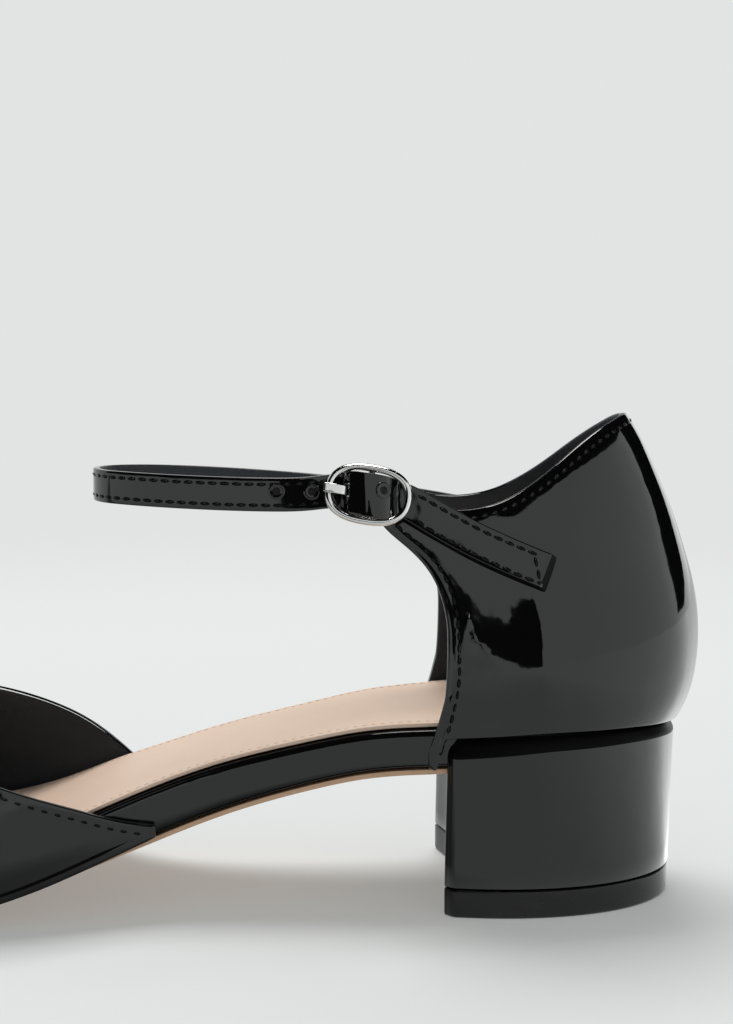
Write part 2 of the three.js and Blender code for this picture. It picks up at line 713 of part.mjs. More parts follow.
const TIP_HALF_WIDTH = quarterHalfWidth(BAR_STATION, BAR_LEVEL, -1);
const TIP_LEAN = Math.atan2(
  quarterHalfWidth(BAR_STATION, BAR_LEVEL - STRAP_WIDTH / 2, -1)
    - quarterHalfWidth(BAR_STATION, BAR_LEVEL + STRAP_WIDTH / 2, -1),
  STRAP_WIDTH,
);
const BAR_OUT = TIP_HALF_WIDTH + 2 * GAP + TAB_WALL + GAP + BAR_RADIUS;
const STRAP_OVER_BAR = BAR_OUT + BAR_RADIUS + GAP + TAB_WALL + 1.5 * GAP;
const FRAME_OUT = TIP_HALF_WIDTH + GAP + STRAP_WALL + 4 * GAP + WIRE_RADIUS;

// How far the strap rises off the quarter's line where it crosses the buckle's bar.
const BUCKLE_LIFT = [
  { ahead: -7.2, share: 0 },
  { ahead: -5.8, share: 0.06 },
  { ahead: -2.2, share: 0.94 },
  { ahead: 0, share: 1 },
  { ahead: 2.2, share: 0.94 },
  { ahead: 5.8, share: 0.06 },
  { ahead: 7.2, share: 0 },
];
const liftShare = smoothTable(BUCKLE_LIFT, 'ahead', 'share');

// The strap's inner face: way runs along the route, across from its lower to its upper edge.
function strapInner(way, across) {
  const centre = strapCurve.getPoint(way);
  const tangent = strapCurve.getTangent(way);
  const outward = new THREE.Vector3(tangent.y, -tangent.x, 0).normalize();
  const up = outward.clone().cross(tangent).normalize();
  if (up.z < 0) up.negate();
  const point = centre.addScaledVector(up, (across * STRAP_WIDTH) / 2);
  const side = point.y < 0 ? -1 : 1;
  const onQuarter = 1 - THREE.MathUtils.smoothstep(point.x, BAR_STATION, BAR_STATION + LOOP_SETTLING);
  if (onQuarter === 0) return place(point.x, point.y, point.z);
  const lift = side < 0 ? liftShare(point.x - BAR_STATION) * (STRAP_OVER_BAR - TIP_HALF_WIDTH - GAP) : 0;
  const rest = side * (quarterHalfWidth(point.x, point.z, side) + GAP);
  return place(point.x, point.y + (rest - point.y) * onQuarter + side * lift, point.z);
}

function strapFaces(way, across) {
  const step = 1e-3;
  const inside = strapInner(way, across);
  const along = strapInner(way + step, across).sub(strapInner(way - step, across));
  const over = strapInner(way, across + 0.05).sub(strapInner(way, across - 0.05));
  const normal = along.cross(over).normalize();
  const centre = place(BAR_STATION + LOOP_REACH / 3, 0, inside.z);
  if (normal.dot(inside.clone().sub(centre)) < 0) normal.negate();
  return { inside, outside: inside.clone().addScaledVector(normal, STRAP_WALL) };
}

// Points along the route, closer together where the strap rises over the buckle's bar.
function strapWays() {
  const margin = 0.002;
  const barWay = solveRising((way) => BAR_STATION - strapCurve.getPoint(way).x, 0.5, 1);
  const near = 0.09;
  return [
    ...shares(46, margin, barWay - near),
    ...shares(20, barWay - near, barWay + near).slice(1),
    ...shares(8, barWay + near, 1 - margin).slice(1),
  ];
}

function makeStrapBand() {
  const acrosses = [-1, 0, 1];
  const faces = strapWays().map((way) => acrosses.map((across) => strapFaces(way, across)));
  const inner = faces.map((row) => row.map(({ inside }) => inside));
  const outer = faces.map((row) => row.map(({ outside }) => outside));
  return bodyBetween(outer, inner);
}

// The buckle is made round its bar: x towards the heel, y up, z out of the shoe's side.
const buckle = new THREE.Group();
buckle.position.copy(place(BAR_STATION, -BAR_OUT, BAR_LEVEL));
buckle.rotation.set(Math.PI / 2 - TIP_LEAN, 0, -BUCKLE_TILT);
buckle.updateMatrix();

const OUTWARD = new THREE.Vector3(0, 0, 1);
const FRAME_LIFT = FRAME_OUT - BAR_OUT;

function tubeRing(centre, sideways, radius, sides) {
  return shares(sides).slice(0, -1).map((share) => {
    const turn = share * 2 * Math.PI;
    return centre.clone().addScaledVector(sideways, radius * Math.cos(turn))
      .addScaledVector(OUTWARD, radius * Math.sin(turn));
  });
}

function makeFrame() {
  const power = 2 / FRAME_SQUARENESS;
  const rounded = (value) => Math.sign(value) * Math.abs(value) ** power;
  const at = (share) => {
    const turn = share * 2 * Math.PI;
    const x = FRAME_HALF_LENGTH * rounded(Math.cos(turn));
    return new THREE.Vector3(x, FRAME_HALF_WIDTH * rounded(Math.sin(turn)), FRAME_LIFT);
  };
  const rings = shares(32).slice(0, -1).map((share) => {
    const tangent = at(share + 0.01).sub(at(share - 0.01)).normalize();
    return tubeRing(at(share), tangent.clone().cross(OUTWARD).normalize(), WIRE_RADIUS, 8);
  });
  const across = new THREE.Vector3(1, 0, 0);
  const bar = bodyThroughRings(shares(10, -1, 1).map((share) => {
    const centre = new THREE.Vector3(0, share * FRAME_HALF_WIDTH, FRAME_LIFT * share ** 6);
    return tubeRing(centre, across, BAR_RADIUS, 8);
  }));
  return toGeometry(toSolid(bodyThroughRings(rings, { closed: true })).add(toSolid(bar)));
}

// A flat strip through a profile in the plane of x and z, wide along y.
function stripThrough(profile, wall, width) {
  const faceAt = (reach) => profile.map((point, i) => {
    const before = profile[Math.max(i - 1, 0)];
    const after = profile[Math.min(i + 1, profile.length - 1)];
    const normal = new THREE.Vector2(before.y - after.y, after.x - before.x).normalize();
    const moved = point.clone().addScaledVector(normal, (reach * wall) / 2);
    return [-1, 1].map((side) => new THREE.Vector3(moved.x, (side * width) / 2, moved.y));
  });
  return bodyBetween(faceAt(1), faceAt(-1));
}

function arcPoints(radius, fromDegrees, toDegrees, count) {
  return shares(count, fromDegrees, toDegrees).map((degrees) => {
    const turn = THREE.MathUtils.degToRad(degrees);
    return new THREE.Vector2(radius * Math.cos(turn), radius * Math.sin(turn));
  });
}

// The prong hooks round the bar, comes up through the strap's hole and rests on the frame's end.
function prongProfile() {
  const radius = BAR_RADIUS + GAP + PRONG_WALL / 2;
  const rest = FRAME_LIFT + WIRE_RADIUS + GAP + PRONG_WALL / 2;
  return [
    ...arcPoints(radius, 385, 255, 9),
    new THREE.Vector2(-PRONG_HOLE_FROM_BAR + 1.8, -0.75 * radius),
    new THREE.Vector2(-PRONG_HOLE_FROM_BAR + 0.7, 0.1 * rest),
    new THREE.Vector2(-PRONG_HOLE_FROM_BAR - 0.4, 0.65 * rest),
    new THREE.Vector2(-PRONG_HOLE_FROM_BAR - 1.5, rest),
    new THREE.Vector2(-FRAME_HALF_LENGTH - PRONG_OVERHANG, rest),
  ];
}

function makeProng() {
  return stripThrough(prongProfile(), PRONG_WALL, PRONG_WIDTH);
}

// Room round the prong, cut out of the strap and the tab.
function prongRoom() {
  return toSolid(stripThrough(prongProfile(), PRONG_WALL + 2 * GAP, PRONG_WIDTH + 2 * GAP));
}

function makeStrap() {
  const room = prongRoom().transform(buckle.matrix.toArray());
  return toGeometry(toSolid(makeStrapBand()).subtract(room));
}

// The tab is a loop round the bar with a short tongue lying on the quarter's tip.
function makeTab() {
  const radius = BAR_RADIUS + GAP + TAB_WALL / 2;
  const profile = [
    new THREE.Vector2(TAB_REACH, -radius),
    new THREE.Vector2(radius, -radius),
    ...arcPoints(radius, 270, 60, 9),
  ];
  const loop = toSolid(stripThrough(profile, TAB_WALL, TAB_WIDTH));
  return toGeometry(loop.subtract(prongRoom()));
}

// Assembly

function named(name, geometry, finish) {
  const mesh = new THREE.Mesh(geometry, new THREE.MeshStandardMaterial(finish));
  mesh.name = name;
  return mesh;
}

const group = new THREE.Group();
group.add(
  named('outsole', makeOutsole(), MATERIALS.outsole),
  named('sole_board', makeBoard(), MATERIALS.patent),
  named('insole', makeInsole(), MATERIALS.insole),
  named('upper_vamp', makeVamp(), MATERIALS.patent),
  named('upper_quarter', makeQuarter(), MATERIALS.patent),
  named('heel_block', makeHeelBlock(), MATERIALS.patent),
  named('heel_top_piece', makeHeelTopPiece(), MATERIALS.rubber),
  named('ankle_strap', makeStrap(), MATERIALS.patent),
  buckle,
);
buckle.add(
  named('buckle_tab', makeTab(), MATERIALS.patent),
  named('buckle_frame', makeFrame(), MATERIALS.chrome),
  named('buckle_prong', makeProng(), MATERIALS.chrome),
);

export default group;
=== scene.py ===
"""Looks of the heeled shoe: black patent, tan insole and outsole, chrome buckle, on a pale studio floor."""

import math
import random

import bmesh
import bpy
from mathutils import Matrix, Vector
from mathutils.bvhtree import BVHTree
from mathutils.geometry import intersect_point_line
from mathutils.kdtree import KDTree


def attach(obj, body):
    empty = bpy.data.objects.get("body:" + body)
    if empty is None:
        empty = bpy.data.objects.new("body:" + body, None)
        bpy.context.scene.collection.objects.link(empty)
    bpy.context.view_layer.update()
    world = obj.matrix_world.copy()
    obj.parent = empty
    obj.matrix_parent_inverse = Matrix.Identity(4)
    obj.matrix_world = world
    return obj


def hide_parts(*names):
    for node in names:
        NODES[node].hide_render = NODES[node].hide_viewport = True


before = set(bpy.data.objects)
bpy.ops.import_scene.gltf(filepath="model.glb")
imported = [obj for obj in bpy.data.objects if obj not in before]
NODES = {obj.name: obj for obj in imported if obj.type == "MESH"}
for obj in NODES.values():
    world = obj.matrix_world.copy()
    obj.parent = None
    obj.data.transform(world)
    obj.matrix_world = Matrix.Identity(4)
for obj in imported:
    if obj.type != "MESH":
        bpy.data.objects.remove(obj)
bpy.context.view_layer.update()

MM = 0.001
MM_PER_METRE = 1000
ROOT = "root"
OUTER = -1
INNER = 1

# Camera, from the photograph: the principal point is its middle, the lens fits 1024 pixels to 36 mm
CAMERA_AT = Vector((52.5, -368.1, 117.7)) * MM
CAMERA_PITCH = math.radians(5.523)
CAMERA_LENS = 59.63
SENSOR = 36.0
BACKDROP = (0.755, 0.776, 0.768)

# Middle of the heel, seen from above
HEEL_MIDDLE = Vector((92, 0, 0)) * MM


# Shader maths

class Sock:
    """A socket that adds Math nodes when it is used in an expression."""

    def __init__(self, shader, socket):
        self.shader = shader
        self.socket = socket

    def _math(self, operation, other, swapped=False):
        first, second = (other, self) if swapped else (self, other)
        return self.shader.node("ShaderNodeMath", {"operation": operation}, {0: first, 1: second})

    def __add__(self, other):
        return self._math("ADD", other)

    def __radd__(self, other):
        return self._math("ADD", other, True)

    def __sub__(self, other):
        return self._math("SUBTRACT", other)

    def __rsub__(self, other):
        return self._math("SUBTRACT", other, True)

    def __mul__(self, other):
        return self._math("MULTIPLY", other)

    def __rmul__(self, other):
        return self._math("MULTIPLY", other, True)


class Shader:
    """One material's node tree."""

    def __init__(self, name):
        self.material = bpy.data.materials.new(name)
        self.material.use_nodes = True
        self.tree = self.material.node_tree
        self.surface = self.tree.nodes["Principled BSDF"]
        self.output = self.tree.nodes["Material Output"]

    def node(self, kind, settings=None, inputs=None, output=0):
        made = self.tree.nodes.new(kind)
        for name, value in (settings or {}).items():
            if name == "stops":
                ramp = made.color_ramp
                for spot, (place, colour) in enumerate(value):
                    stop = ramp.elements[spot] if spot < 2 else ramp.elements.new(place)
                    stop.position = place
                    stop.color = (*colour, 1) if len(colour) == 3 else colour
            else:
                setattr(made, name, value)
        for name, value in (inputs or {}).items():
            self.put(made.inputs[name], value)
        return Sock(self, made.outputs[output])

    def put(self, socket, value):
        if isinstance(value, Sock):
            self.tree.links.new(value.socket, socket)
        elif socket.type == "RGBA":
            socket.default_value = (*value, 1)
        else:
            socket.default_value = value

    def place(self, stretch=(1, 1, 1)):
        """Object coordinates in mm, stretched along the axes."""
        spot = self.node("ShaderNodeTexCoord", output="Object")
        size = tuple(MM_PER_METRE * part for part in stretch)
        return self.node("ShaderNodeMapping", inputs={"Vector": spot, "Scale": size})

    def noise(self, scale, detail=2.0, rough=0.5, stretch=(1, 1, 1)):
        """Noise with features of about 1 / scale mm."""
        settings = {"noise_dimensions": "3D"}
        inputs = {"Vector": self.place(stretch), "Scale": scale, "Detail": detail, "Roughness": rough}
        return self.node("ShaderNodeTexNoise", settings, inputs, "Fac")

    def spots(self, scale):
        """Round cells of about 1 / scale mm, as in grain or pores."""
        inputs = {"Vector": self.place(), "Scale": scale}
        return self.node("ShaderNodeTexVoronoi", {"feature": "F1"}, inputs, "Distance")

    def ramp(self, value, low, high, to_low=0.0, to_high=1.0):
        inputs = {"Value": value, "From Min": low, "From Max": high, "To Min": to_low, "To Max": to_high}
        return self.node("ShaderNodeMapRange", {"clamp": True}, inputs)

    def mix(self, factor, first, second):
        inputs = {"Factor": factor, 6: first, 7: second}
        return self.node("ShaderNodeMix", {"data_type": "RGBA"}, inputs, 2)

    def bump(self, height, strength, distance, normal=None):
        inputs = {"Height": height, "Strength": strength, "Distance": distance}
        if normal:
            inputs["Normal"] = normal
        return self.node("ShaderNodeBump", inputs=inputs)

    def set(self, **values):
        """Sets the surface's sockets, named in small letters with _ between the words."""
        for name, value in values.items():
            self.put(self.surface.inputs[name.replace("_", " ").title().replace("Ior", "IOR")], value)
        return self.material

    def end_in(self, result):
        """Makes a shader of its own the material's surface."""
        self.put(self.output.inputs["Surface"], result)
        return self.material

    def glow(self, colour, strength=1.0):
        return self.node("ShaderNodeEmission", inputs={"Color": colour, "Strength": strength})

    def shine(self, colour, strength=1.0):
        """A material that only glows. What it lights is found by the gloss, not sampled as a lamp."""
        self.material.cycles.emission_sampling = "NONE"
        return self.end_in(self.glow(colour, strength))


def patent_material():
    """Black patent: a deep gloss film over fine leather, with a faint ripple and a little dust."""
    shader = Shader("patent_black")
    ripple = shader.noise(0.16, 2.0, 0.4)
    grain = shader.noise(2.6, 3.0, 0.55)
    handled = shader.noise(0.05, 3.0, 0.6)
    normal = shader.bump(ripple, 0.05, 1.6 * MM)
    normal = shader.bump(grain, 0.03, 0.04 * MM, normal)
    dust = shader.ramp(shader.noise(9.0, 1.0), 0.74, 0.82)
    colour = shader.mix(dust * 0.25, (0.0035, 0.0035, 0.0038), (0.05, 0.05, 0.05))
    rough = shader.ramp(handled, 0.35, 0.75, 0.035, 0.075) + dust * 0.1
    return shader.set(base_color=colour, roughness=rough, normal=normal, ior=1.6)


def edge_material():
    """Black edge paint on cut edges and in seams, duller than the patent. It also serves as painted shade:
    the dark ovals in the stitches' pits, the cord along the vamp's foot and the heel's crown under the seam.
    """
    shader = Shader("edge_black")
    fine = shader.noise(5.0, 3.0, 0.6)
    normal = shader.bump(fine, 0.25, 0.05 * MM)
    rough = shader.ramp(fine, 0.3, 0.7, 0.3, 0.42)
    colour = shader.mix(fine, (0.001, 0.001, 0.001), (0.004, 0.004, 0.004))
    return shader.set(base_color=colour, roughness=rough, normal=normal, specular_ior_level=0.05)


def lining_material():
    """Smooth black lining leather inside the upper."""
    shader = Shader("lining_black")
    grain = shader.spots(2.2)
    patch = shader.noise(0.12, 3.0)
    normal = shader.bump(grain, 0.22, 0.08 * MM)
    colour = shader.mix(patch, (0.020, 0.0245, 0.030), (0.030, 0.0365, 0.044))
    return shader.set(base_color=colour, roughness=shader.ramp(patch, 0.3, 0.7, 0.34, 0.46), normal=normal,
                      specular_ior_level=0.4)


def insole_material():
    """Pinkish beige insole leather: soft grain, faint clouds, a slight sheen, and painted shade that darkens
    it towards the toe, under the vamp.
    """
    shader = Shader("insole_tan")
    clouds = shader.noise(0.035, 3.0, 0.55)
    pores = shader.spots(1.7)
    fine = shader.noise(3.2, 3.0, 0.6)
    colour = shader.mix(clouds, (0.70, 0.52, 0.405), (0.80, 0.62, 0.50))
    colour = shader.mix(shader.ramp(fine, 0.35, 0.7) * 0.22, colour, (0.60, 0.43, 0.33))
    # Painted shade: the colour darkens towards the toe, where the vamp shades the insole.
    along = shader.node("ShaderNodeSeparateXYZ", inputs={0: shader.place()}, output="X")
    colour = shader.mix(shader.ramp(along, 0.0, -60.0) * 0.6, colour, (0.47, 0.315, 0.225))
    normal = shader.bump(pores, 0.25, 0.08 * MM)
    normal = shader.bump(fine, 0.2, 0.05 * MM, normal)
    return shader.set(base_color=colour, roughness=shader.ramp(fine, 0.3, 0.7, 0.46, 0.6), normal=normal)


def outsole_material():
    """Tan sheet outsole: grained along its length, with faint clouds."""
    shader = Shader("outsole_tan")
    grain = shader.noise(1.6, 4.0, 0.6, (0.25, 1, 1))
    cloud = shader.noise(0.05, 3.0)
    colour = shader.mix(cloud, (0.60, 0.37, 0.23), (0.70, 0.46, 0.30))
    colour = shader.mix(shader.ramp(grain, 0.4, 0.75) * 0.3, colour, (0.40, 0.255, 0.165))
    normal = shader.bump(grain, 0.3, 0.08 * MM)
    return shader.set(base_color=colour, roughness=shader.ramp(grain, 0.3, 0.7, 0.42, 0.58), normal=normal)


def rubber_material():
    """Hard black rubber of the heel's top piece, moulded with a fine texture."""
    shader = Shader("rubber_black")
    texture = shader.spots(1.9)
    scuff = shader.ramp(shader.noise(0.5, 4.0, 0.7, (0.3, 1, 1)), 0.55, 0.75)
    normal = shader.bump(texture, 0.2, 0.06 * MM)
    colour = shader.mix(scuff * 0.3, (0.008, 0.008, 0.008), (0.03, 0.029, 0.028))
    return shader.set(base_color=colour, roughness=shader.ramp(scuff, 0, 1, 0.24, 0.4), normal=normal,
                      specular_ior_level=0.36)


def chrome_material():
    """Polished nickel of the buckle, with hairline polishing marks."""
    shader = Shader("buckle_chrome")
    marks = shader.noise(3.0, 3.0, 0.6, (1, 0.2, 1))
    tarnish = shader.noise(0.4, 3.0)
    colour = shader.mix(tarnish, (0.74, 0.735, 0.725), (0.83, 0.825, 0.815))
    normal = shader.bump(marks, 0.06, 0.03 * MM)
    return shader.set(base_color=colour, metallic=1.0, normal=normal,
                      roughness=shader.ramp(marks, 0.3, 0.7, 0.09, 0.17))


def thread_material():
    """Black sewing thread, twisted and waxed."""
    shader = Shader("thread_black")
    twist = shader.node("ShaderNodeTexWave", {"bands_direction": "DIAGONAL"},
                        {"Vector": shader.place(), "Scale": 1.6, "Distortion": 0.4}, "Fac")
    normal = shader.bump(twist, 0.5, 0.06 * MM)
    colour = shader.mix(twist, (0.002, 0.002, 0.002), (0.012, 0.012, 0.012))
    return shader.set(base_color=colour, roughness=0.22, normal=normal, specular_ior_level=0.15)


def tan_thread_material():
    """Tan thread of the insole's seam."""
    shader = Shader("thread_tan")
    twist = shader.noise(4.0, 2.0, 0.6, (0.4, 1, 1))
    colour = shader.mix(twist, (0.46, 0.31, 0.21), (0.66, 0.48, 0.36))
    return shader.set(base_color=colour, roughness=0.6, normal=shader.bump(twist, 0.4, 0.05 * MM))


def hole_shade_material():
    """Painted shade for a punched hole: the dark, fibrous inside of the hole, painted on a closed disc."""
    shader = Shader("hole_shade_black")
    fibre = shader.noise(6.0, 3.0, 0.7)
    colour = shader.mix(fibre, (0.001, 0.001, 0.001), (0.006, 0.0055, 0.005))
    return shader.set(base_color=colour, roughness=0.9, normal=shader.bump(fibre, 0.4, 0.05 * MM))


def floor_material():
    """Matt pale paper near the shoe, and an even glow further away, so that no horizon shows. Near the shoe
    a share of the glow stays as painted light, which lifts the shoe's shadow.
    """
    shader = Shader("floor_paper")
    tooth = shader.noise(0.8, 3.0, 0.6)
    cloud = shader.noise(0.004, 2.0)
    colour = shader.mix(cloud, (0.745, 0.762, 0.755), (0.765, 0.78, 0.773))
    shader.set(base_color=colour, roughness=0.85, specular_ior_level=0.0,
               normal=shader.bump(tooth, 0.03, 0.05 * MM))
    spot = shader.node("ShaderNodeTexCoord", output="Object")
    away = shader.node("ShaderNodeVectorMath", {"operation": "LENGTH"}, {0: spot}, "Value")
    far = shader.node("ShaderNodeMapRange", {"interpolation_type": "SMOOTHSTEP"},
                      {"Value": away, "From Min": 0.22, "From Max": 0.75})
    # Painted light: this share of the floor glows even beside the shoe, to lift its shadow.
    painted_fill_share = 0.3
    paper = Sock(shader, shader.surface.outputs[0])
    inputs = {0: far * (1 - painted_fill_share) + painted_fill_share, 1: paper, 2: shader.glow(BACKDROP)}
    return shader.end_in(shader.node("ShaderNodeMixShader", inputs=inputs))


PATENT = patent_material()
EDGE = edge_material()
LINING = lining_material()
INSOLE = insole_material()
OUTSOLE = outsole_material()
RUBBER = rubber_material()
CHROME = chrome_material()
THREAD = thread_material()
TAN_THREAD = tan_thread_material()
HOLE_SHADE = hole_shade_material()


# Meshes

# Levels of subdivision of the finished leather, sole and metal
SMOOTH = 2


def finish_mesh(name, bm, materials, replaced=(), levels=0):
    """Puts a mesh into the scene as a piece of the shoe."""
    mesh = bpy.data.meshes.new(name)
    bm.to_mesh(mesh)
    bm.free()
    for material in materials:
        mesh.materials.append(material)
    mesh.shade_smooth()
    piece = bpy.data.objects.new(name, mesh)
    bpy.context.scene.collection.objects.link(piece)
    if levels:
        smooth = piece.modifiers.new("smooth", "SUBSURF")
        smooth.levels = levels
        smooth.render_levels = levels
    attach(piece, ROOT)
    if replaced:
        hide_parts(*replaced)
    return piece


def quads_of(node):
    """A merged copy of a CAD node with its triangles paired into quads."""
    bm = bmesh.new()
    bm.from_mesh(NODES[node].data)
    bmesh.ops.remove_doubles(bm, verts=bm.verts, dist=0.004 * MM)
    bmesh.ops.join_triangles(bm, faces=bm.faces, angle_face_threshold=math.radians(35),
                             angle_shape_threshold=math.radians(180), topology_influence=1.0)
    return bm


def round_edges(bm, radius, sharp=40, chosen=lambda edge: True):
    """Rounds the sharp edges that are chosen and creases the others."""
    layer = bm.edges.layers.float.new("crease_edge")
    edges = [edge for edge in bm.edges if edge.calc_face_angle(0) > math.radians(sharp)]
    picked = [edge for edge in edges if chosen(edge)]
    for edge in edges:
        if not chosen(edge):
            edge[layer] = 0.8
    bmesh.ops.bevel(bm, geom=picked, offset=radius * MM, offset_type="OFFSET", segments=2, profile=0.5,
                    affect="EDGES", material=-1, clamp_overlap=False)


def line_inside(bm, axis_of):
    """Gives the faces that look towards the foot the second material."""
    facing = 0.25
    for face in bm.faces:
        middle = face.calc_center_median()
        inward = axis_of(middle) - middle
        if face.normal.dot(inward.normalized()) > facing:
            face.material_index = 1


def leather_copy(node, name, radius, axis_of=None, chosen=lambda edge: True):
    """A CAD node's shape in patent, with rounded edges and, on its foot side, lining."""
    bm = quads_of(node)
    if axis_of:
        line_inside(bm, axis_of)
    round_edges(bm, radius, chosen=chosen)
    return finish_mesh(name, bm, [PATENT, LINING], (node,), SMOOTH)


def surface_of(piece):
    """A piece's finished surface, for rays and nearest spots."""
    return BVHTree.FromObject(piece, bpy.context.evaluated_depsgraph_get())


# Rows along an edge

def spread(low, high, steps):
    """Values at even steps from low to high."""
    return [low + (high - low) * step / steps for step in range(steps + 1)]


def last_hit(tree, ray):
    """Where rays that start beyond an edge first meet the surface, and the normal a little further in."""
    steps, halvings, further = 60, 12, 1.6

    def cast(share):
        start, heading, reach = ray(share)
        spot, normal, _, _ = tree.ray_cast(start, heading, reach)
        return spot, normal
    met = next((step for step in range(steps + 1) if cast(step / steps)[0]), None)
    if not met:
        return None
    low, high = (met - 1) / steps, met / steps
    for _ in range(halvings):
        middle = (low + high) / 2
        if cast(middle)[0]:
            high = middle
        else:
            low = middle
    spot = cast(high)[0]
    inner = cast(high + further / steps)
    return spot, (inner[1] if inner[0] else cast(high)[1])


def edge_row(tree, rays):
    """The spots and normals that some rays find along an edge."""
    return [spot for spot in (last_hit(tree, ray) for ray in rays) if spot]


def inset_row(tree, edge, inset):
    """The spots on a surface at an even distance inside its edge."""
    above = 4 * MM
    row = []
    for i, (spot, normal) in enumerate(edge):
        along = edge[min(i + 1, len(edge) - 1)][0] - edge[max(i - 1, 0)][0]
        inward = normal.cross(along).normalized() * inset * MM
        met = [tree.ray_cast(spot + inward * sign + normal * above, -normal, 2 * above) for sign in (1, -1)]
        met = [hit for hit in met if hit[0]]
        if met:
            best = min(met, key=lambda hit: abs(hit[3] - above))
            row.append((best[0], best[1]))
    return [(tree.find_nearest(spot)[0], normal) for spot, normal in even_row(row)]


def even_row(row):
    """Takes small jumps out of a row."""
    for _ in range(4):
        row = [row[0]] + [((a[0] + b[0] * 2 + c[0]) / 4, (a[1] + b[1] * 2 + c[1]).normalized())
                          for a, b, c in zip(row, row[1:], row[2:])] + [row[-1]]
    return row


def even_spots(row, pitch):
    """Spots at an even pitch along a row, each with its normal and its direction."""
    lengths = [(b[0] - a[0]).length for a, b in zip(row, row[1:])]
    total = sum(lengths)
    count = max(1, round(total / (pitch * MM)))
    spots = []
    passed = 0.0
    i = 0
    for step in range(count):
        want = (step + 0.5) * total / count
        while i < len(lengths) - 1 and passed + lengths[i] < want:
            passed += lengths[i]
            i += 1
        share = (want - passed) / max(lengths[i], 1e-9)
        spot = row[i][0].lerp(row[i + 1][0], share)
        normal = row[i][1].lerp(row[i + 1][1], share).normalized()
        spots.append((spot, normal, (row[i + 1][0] - row[i][0]).normalized()))
    return spots


def sew(name, rows, pitch, size, thread=None, pit_shade=None):
    """Stitches along rows of spots: a thread bar each, on a dark oval of painted shade for the stitch's pit
    where pit_shade is given.
    """
    chance = random.Random(name)
    sway = 0.04
    bm = bmesh.new()
    length, width, height = (part * MM for part in size)

    def bar(spot, normal, along, sizes, material, sides, rings):
        side = normal.cross(along).normalized()
        turned = (along + side * chance.uniform(-sway, sway)).normalized()
        side = normal.cross(turned).normalized()
        matrix = Matrix((turned * sizes[0], side * sizes[1], normal * sizes[2])).transposed().to_4x4()
        matrix.translation = spot
        made = bmesh.ops.create_uvsphere(bm, u_segments=sides, v_segments=rings, radius=0.5, matrix=matrix)
        for vertex in made["verts"]:
            for face in vertex.link_faces:
                face.material_index = material

    for row in rows:
        for spot, normal, along in even_spots(row, pitch):
            # Painted shade: a dark oval of edge paint under the thread stands for the shade in the stitch's
            # pit.
            if pit_shade:
                bar(spot, normal, along, (length + pit_shade * MM, width + pit_shade * MM, height * 0.5), 1, 8, 4)
            bar(spot, normal, along, (length, width, height), 0, 6, 5)
    return finish_mesh(name, bm, [thread or THREAD, EDGE])


def sweep(bm, rings, ends=True):
    """Faces between rings of points, each end closed by one face."""
    made = [[bm.verts.new(point) for point in ring] for ring in rings]
    count = len(made[0])
    for near, far in zip(made, made[1:]):
        for j in range(count):
            bm.faces.new((near[j], near[(j + 1) % count], far[(j + 1) % count], far[j]))
    if ends:
        bm.faces.new(made[0][::-1])
        bm.faces.new(made[-1])
    return made


def cord_rings(spots, radius):
    """Rings along a row of (spot, normal), flattened along the normal and pointed at both ends."""
    sides, flat, point_steps, point_size = 6, 0.5, 4, 0.2
    rings = []
    last = len(spots) - 1
    for i, (spot, normal) in enumerate(spots):
        along = (spots[min(i + 1, last)][0] - spots[max(i - 1, 0)][0]).normalized()
        side = normal.cross(along).normalized()
        grown = (min(i, last - i, point_steps) + point_size) / (point_steps + point_size)
        size = radius * MM * grown
        turns = [2 * math.pi * j / sides for j in range(sides)]
        rings.append([spot + (side * math.cos(turn) + normal * (math.sin(turn) * flat)) * size
                      for turn in turns])
    return rings


# Upper

# Middles of the heel and of the forefoot, which the lining faces and the rays aim at
QUARTER_AXIS = Vector((82, 0, 0)) * MM
FAN = Vector((-50.5, 0, 5)) * MM

# Where the quarter's foot steps from the heel down to the rim, and how high its walls begin, in mm
STEP_X = 68.3
STEP_REACH = 2.5
WALL_LOW = 45

# The height of the sole's edge at distances towards the toe from the middle, in mm
SOLE_EDGE = ((-12, 17.6), (4, 12.3), (19, 7.6), (31, 4.6), (43, 2.5), (55, 1.5), (73, 1.5), (100, 3.7),
             (125, 7.7))

# How the vamp's foot is drawn down: what lies under this height above the edge, by this much, from this
# spot on over this run, and never below the least height, in mm
DRAWN_BAND = 1.5
DRAWN_DEPTH = 1.7
DRAWN_FROM = 10
DRAWN_RUN = 22
DRAWN_LEAST = 0.4


def quarter_axis(spot):
    return Vector((min(spot.x, QUARTER_AXIS.x), 0, spot.z))


def vamp_axis(spot):
    return Vector((max(spot.x, FAN.x), 0, FAN.z))


def away_from_step(edge):
    """True for the quarter's edges except where its foot steps from the heel down to the rim."""
    middle = (edge.verts[0].co + edge.verts[1].co) / 2
    return middle.z > WALL_LOW * MM or abs(middle.x - STEP_X * MM) > STEP_REACH * MM


def on_line(line, at):
    """A value of a line given by its corners."""
    for (x0, y0), (x1, y1) in zip(line, line[1:]):
        if at <= x1:
            return y0 + (y1 - y0) * max(0.0, (at - x0) / (x1 - x0))
    return line[-1][1]


def settle(piece):
    """Gives a piece the mesh that its modifiers make."""
    smooth = piece.evaluated_get(bpy.context.evaluated_depsgraph_get())
    mesh = bpy.data.meshes.new_from_object(smooth)
    piece.modifiers.clear()
    piece.data = mesh


def away_from_row(spots):
    """A function that gives a spot's distance from a row of spots."""
    tree = KDTree(len(spots))
    for i, spot in enumerate(spots):
        tree.insert(spot, i)
    tree.balance()

    def distance(spot):
        _, i, best = tree.find(spot)
        for a, b in ((i - 1, i), (i, i + 1)):
            if 0 <= a and b < len(spots):
                foot, share = intersect_point_line(spot, spots[a], spots[b])
                if 0 <= share <= 1:
                    best = min(best, (foot - spot).length)
        return best
    return distance


